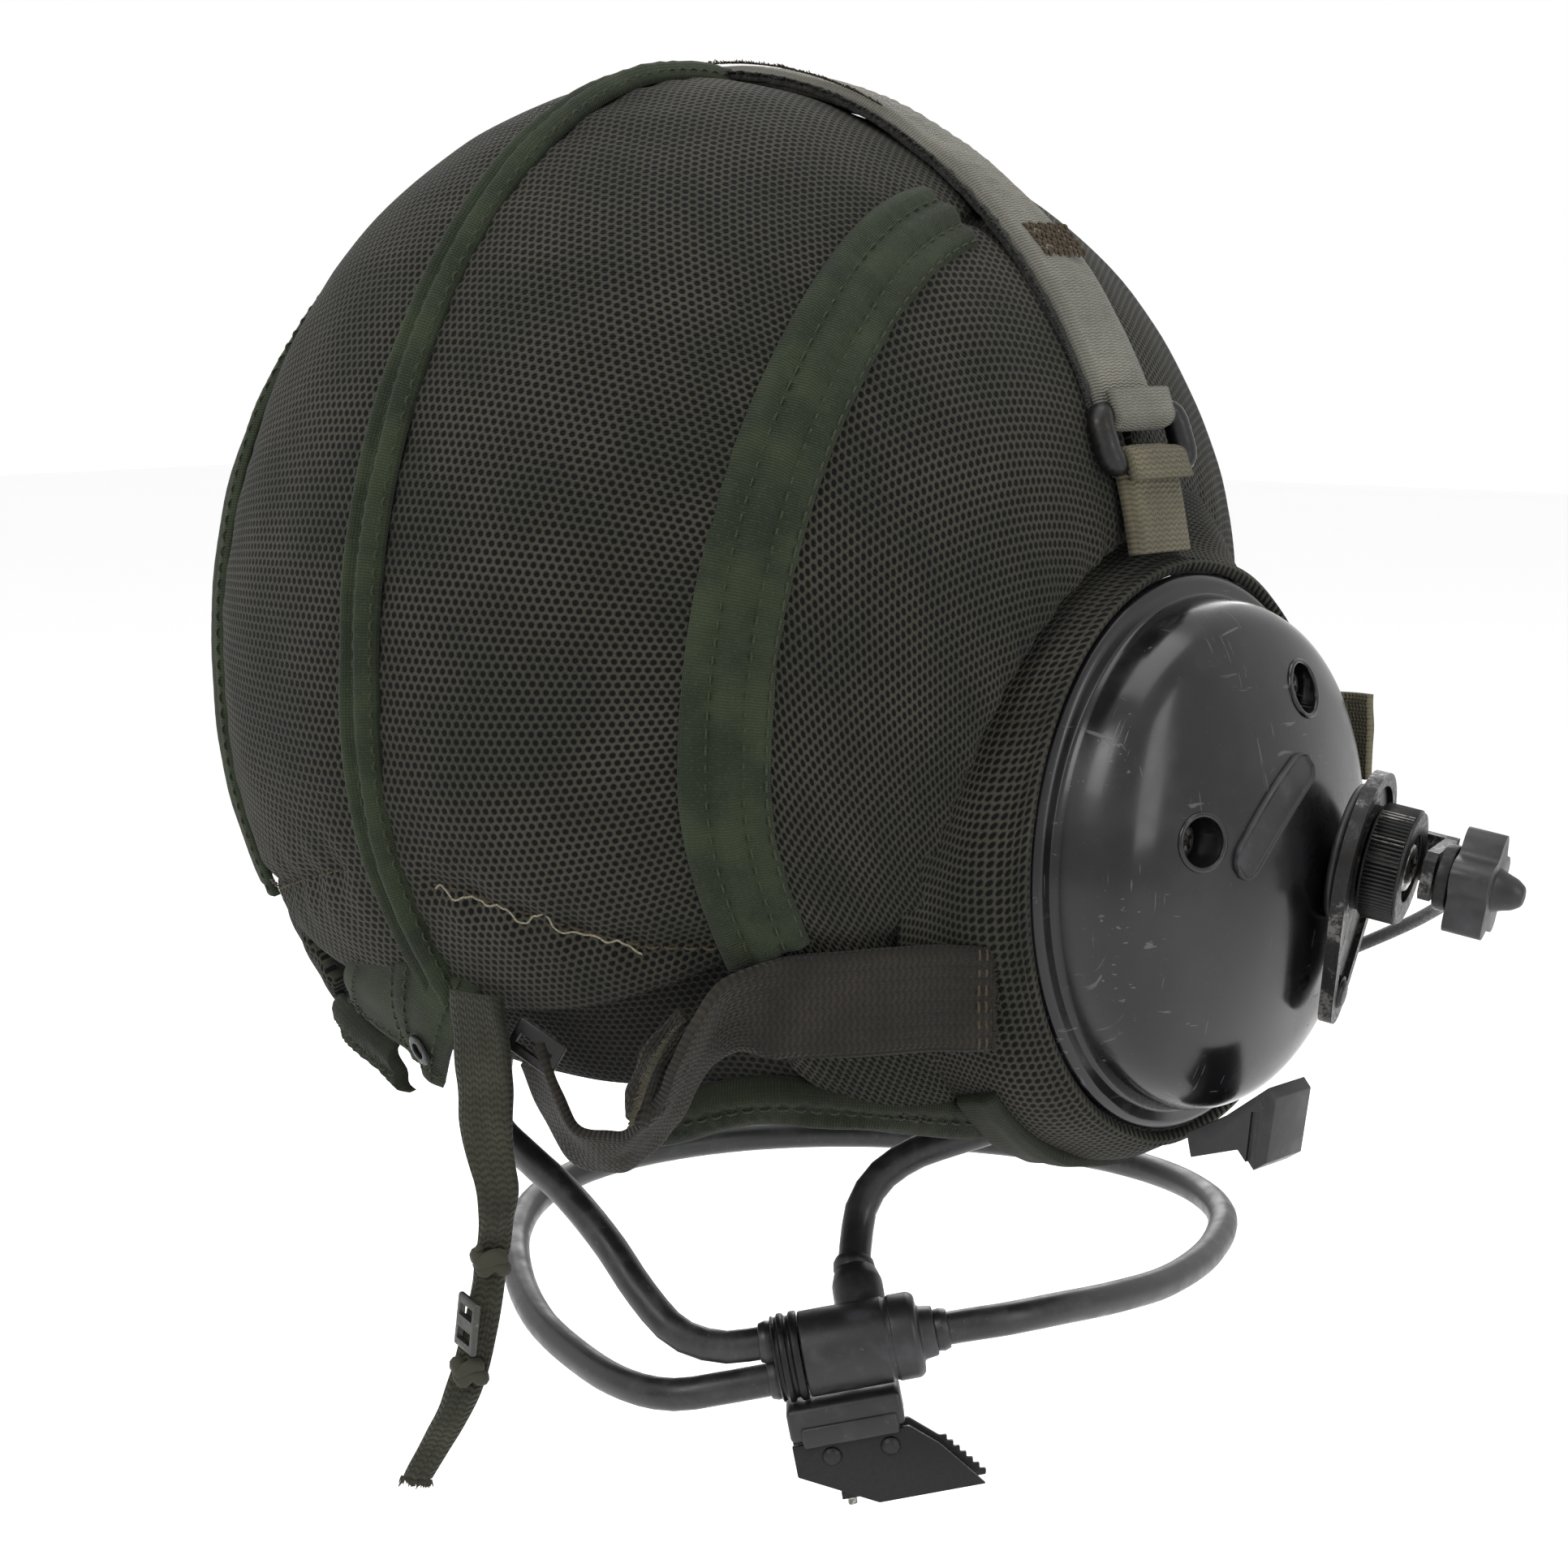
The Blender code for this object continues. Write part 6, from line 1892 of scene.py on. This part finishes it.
tab = Cloth(tab_point, 14, 20, Vector((-0.107, 0.2, 0.018)))
add("front_webbing_tab", tab.mesh("tab", 0.0016, lambda i, j, p: 0.0005 * noise.noise(p * 160.0)),
    LOOP,
    nodes=("front_tab",), angle=0)

# Junction of the cords, and the clothing clip
JUNCTION = frame_on(JUNCTION_CENTRE, JUNCTION_AXIS)
x = JUNCTION_AXIS
z = (Vector((0.0, 0.0, 1.0)) - x * x.z).normalized()
LOCAL = Matrix((x, z.cross(x), z)).transposed().to_4x4()
LOCAL.translation = JUNCTION_CENTRE
body = turned(softened([(0.0, 0.0150), (0.0046, 0.0150), (0.0050, 0.0122), (0.0072, 0.0120),
                        (0.0080, 0.0110),
                        (0.0080, 0.0072), (0.0077, 0.0069), (0.0077, 0.0062), (0.0080, 0.0059),
                        (0.0080, -0.0098),
                        (0.0, -0.0098)], 0.0005), 96)
tilt = LOCAL @ Matrix.Rotation(math.radians(-50.0), 4, "X") @ Matrix.Translation((0.002, 0, 0))
spigot = turned(softened([(0.0, 0.0158), (0.0040, 0.0158), (0.0048, 0.0130), (0.0048, 0.0040),
                          (0.0, 0.0040)], 0.0005), 48)
body = united(moved(body, JUNCTION), moved(spigot, tilt))
add("junction_shell", body, PLASTIC, nodes=("junction_body",), angle=35)
collar = turned(softened([(0.0, -0.0101), (0.0083, -0.0101), (0.0083, -0.0113), (0.0076, -0.0117),
                          (0.0076, -0.0123),
                          (0.0083, -0.0127), (0.0083, -0.0136), (0.0077, -0.0139),
                          (0.0077, -0.0144),
                          (0.0081, -0.0147), (0.0078, -0.0150), (0.0, -0.0150)], 0.0002, 2), 96)
add("junction_ring", moved(collar, JUNCTION), METAL, nodes=("junction_collar",))
mount = baked(box_mesh((-0.0150, -0.0056, -0.0150), (0.0065, 0.0045, -0.0086)),
              rounded_edges(0.0010, 3))
step_block = baked(box_mesh((-0.0128, -0.0062, -0.0162), (0.0052, 0.0010, -0.0122)),
                   rounded_edges(0.0006, 3))
add("clip_bar", moved(united(mount, step_block), LOCAL), PLASTIC, nodes=("clip_mount",))

FACE = LOCAL @ Matrix.Rotation(math.radians(90.0), 4, "X")


def jaw(low, high, teeth=0):
    """A folded sheet jaw, with saw teeth along its free edge where it has them."""
    outline = [(-0.0150, -0.0155), (0.0070, -0.0155), (0.0120, -0.0200)]
    for index in range(teeth):
        t = (index + 0.5) / teeth
        outline += [(0.0120 + 0.0070 * t + 0.0010, -0.0200 - 0.0090 * t + 0.0005),
                    (0.0120 + 0.0070 * (t + 0.5 / teeth) + 0.0003,
                     -0.0200 - 0.0090 * (t + 0.5 / teeth))]
    outline += [(0.0190, -0.0290), (-0.0010, -0.0290), (-0.0150, -0.0215)]
    return baked(extruded(outline, low, high), rounded_edges(0.00025, 2))


front = jaw(0.0040, 0.0052)
add("clip_front_sheet", moved(front, FACE), METAL, nodes=("clip_front_jaw",))
CLIP_RIVETS = (-0.0080, 0.0030)
for number, a in enumerate(CLIP_RIVETS):
    rivet = turned(softened([(0.0, 0.0064), (0.0010, 0.0063), (0.0017, 0.0057), (0.0019, 0.0052),
                             (0.0, 0.0052)], 0.0002), 28)
    add("clip_rivet_%d" % (number + 1), moved(rivet, FACE @ Matrix.Translation((a, -0.0185, 0.0))),
        WORN)
rear = jaw(-0.0010, 0.0002, 7)
HINGE_ALONG, HINGE_OUT = -0.0060, -0.0021
pin_frame = LOCAL @ Matrix.Translation((HINGE_ALONG, HINGE_OUT, 0.0))
rear = moved(rear, FACE)
for height in (-0.0190, -0.0270):
    lug = box_mesh((HINGE_ALONG - 0.0017, HINGE_OUT - 0.0016, height - 0.0006),
                   (HINGE_ALONG + 0.0017, 0.0006, height + 0.0006))
    rear = united(rear, moved(lug, LOCAL))
rear = cut_with(rear, [moved(rod_mesh(0.0012, -0.032, -0.0158, 24), pin_frame)])
add("clip_rear_sheet", rear, METAL, "clip_jaw", ("clip_rear_jaw",))
add("clip_hinge_pin", moved(turned(softened([(0.0, -0.0158), (0.0009, -0.0158), (0.0009, -0.0292),
                                             (0.0, -0.0292)],
                                            0.0002), 24), pin_frame), STEEL, nodes=("clip_pin",))
coil = [pin_frame @ Vector((0.00145 * math.cos(a), 0.00145 * math.sin(a),
                            -0.0205 - 0.0050 * a / (12 * math.pi)))
        for a in (i * math.pi / 8 for i in range(97))]
add("clip_coil", tube(coil, 0.0003, 8), STEEL, nodes=("clip_spring",))

# Soft seals where the cords enter the junction
SEALS = []
for number, (route, tip, inner) in enumerate(((LEAD_LEFT_ROUTE, -1, -2), (LEAD_RIGHT_ROUTE, -1, -2),
                                              (NECK_LOOP_ROUTE, 0, 1), (NECK_LOOP_ROUTE, -1, -2))):
    tip, inner = Vector(route[tip]), Vector(route[inner])
    seal = turned(softened([(0.0030, -0.0011), (0.0038, -0.0011), (0.0040, 0.0004),
                            (0.0036, 0.0016),
                            (0.0030, 0.0017)], 0.0002, closed=True), 40, closed=True)
    name = "cord_seal_%d" % (number + 1)
    SEALS.append(name)
    add(name, moved(seal, frame_on(tip, (inner - tip).normalized())), RUBBER)

# What is on the cords; the first point of each cord is read and not used
ON_CORDS = [bpy.data.objects[n] for n in ("junction_shell", "junction_ring", "clip_bar",
                                          "clip_front_sheet",
                                         "clip_rivet_1", "clip_rivet_2", "clip_rear_sheet",
                                         "clip_hinge_pin",
                                         "clip_coil", *SEALS)]
for name, pieces in (("lead_left", ON_CORDS), ("lead_right", ()), ("neck_loop", ())):
    obj, points, length = CABLES[name]
    tuple(points[0])

# The flat sizes that the cloth was cut to, worked out and not kept
for name, (obj, cloth) in PANELS.items():
    declare(obj, cloth)
for word, (obj, cloth) in SLEEVES.items():
    declare(obj, cloth)
declare(SKIRT, skirt_cloth)
declare(FLAP, flap_cloth)
declare(NAPE_STRAP, nape_cloth)
declare(TAIL_STRAP, tail_cloth)
declare(HEADBAND, strap.cloth)

# Floor and light
FLOOR_Z = -0.30
floor = bpy.data.objects.new("floor", mesh_of("floor",
                                              [(-6, -6, FLOOR_Z), (6, -6, FLOOR_Z),
                                               (6, 6, FLOOR_Z), (-6, 6, FLOOR_Z)],
                                              [(0, 1, 2, 3)]))
bpy.context.scene.collection.objects.link(floor)
p = Paint("pale floor", 0.9)
floor.data.materials.append(p.done(p.mix(p.noise(p.place(), 3.0), (0.95, 0.95, 0.95),
                                         (0.97, 0.97, 0.97))))

bpy.context.scene.view_settings.view_transform = "Standard"
world = bpy.data.worlds.new("studio")
bpy.context.scene.world = world
world.use_nodes = True
world.node_tree.nodes["Background"].inputs["Color"].default_value = (1.0, 1.0, 1.0, 1.0)
world.node_tree.nodes["Background"].inputs["Strength"].default_value = 1.0
RIGHT = Vector((0.0, 0.0, 1.0)).cross(TO_CAMERA).normalized()


def softbox(name, place, size, watts):
    light = bpy.data.objects.new(name, bpy.data.lights.new(name, "AREA"))
    light.data.shape = "RECTANGLE"
    light.data.size, light.data.size_y = size
    light.data.energy = watts
    light.location = place
    light.rotation_euler = (Vector((0.0, 0.0, 0.0)) - place).to_track_quat("-Z", "Y").to_euler()
    bpy.context.scene.collection.objects.link(light)


softbox("key", TO_CAMERA * 1.1 - RIGHT * 1.1 + Vector((0.0, 0.0, 1.1)), (0.9, 0.9), 16.0)
softbox("fill", TO_CAMERA * 1.0 + RIGHT * 1.3 + Vector((0.0, 0.0, 0.4)), (0.5, 1.2), 7.0)
softbox("top", Vector((0.0, 0.0, 1.7)), (1.2, 1.2), 12.0)
softbox("back", -TO_CAMERA * 1.4 + Vector((0.0, 0.0, 0.9)), (1.0, 0.8), 9.0)
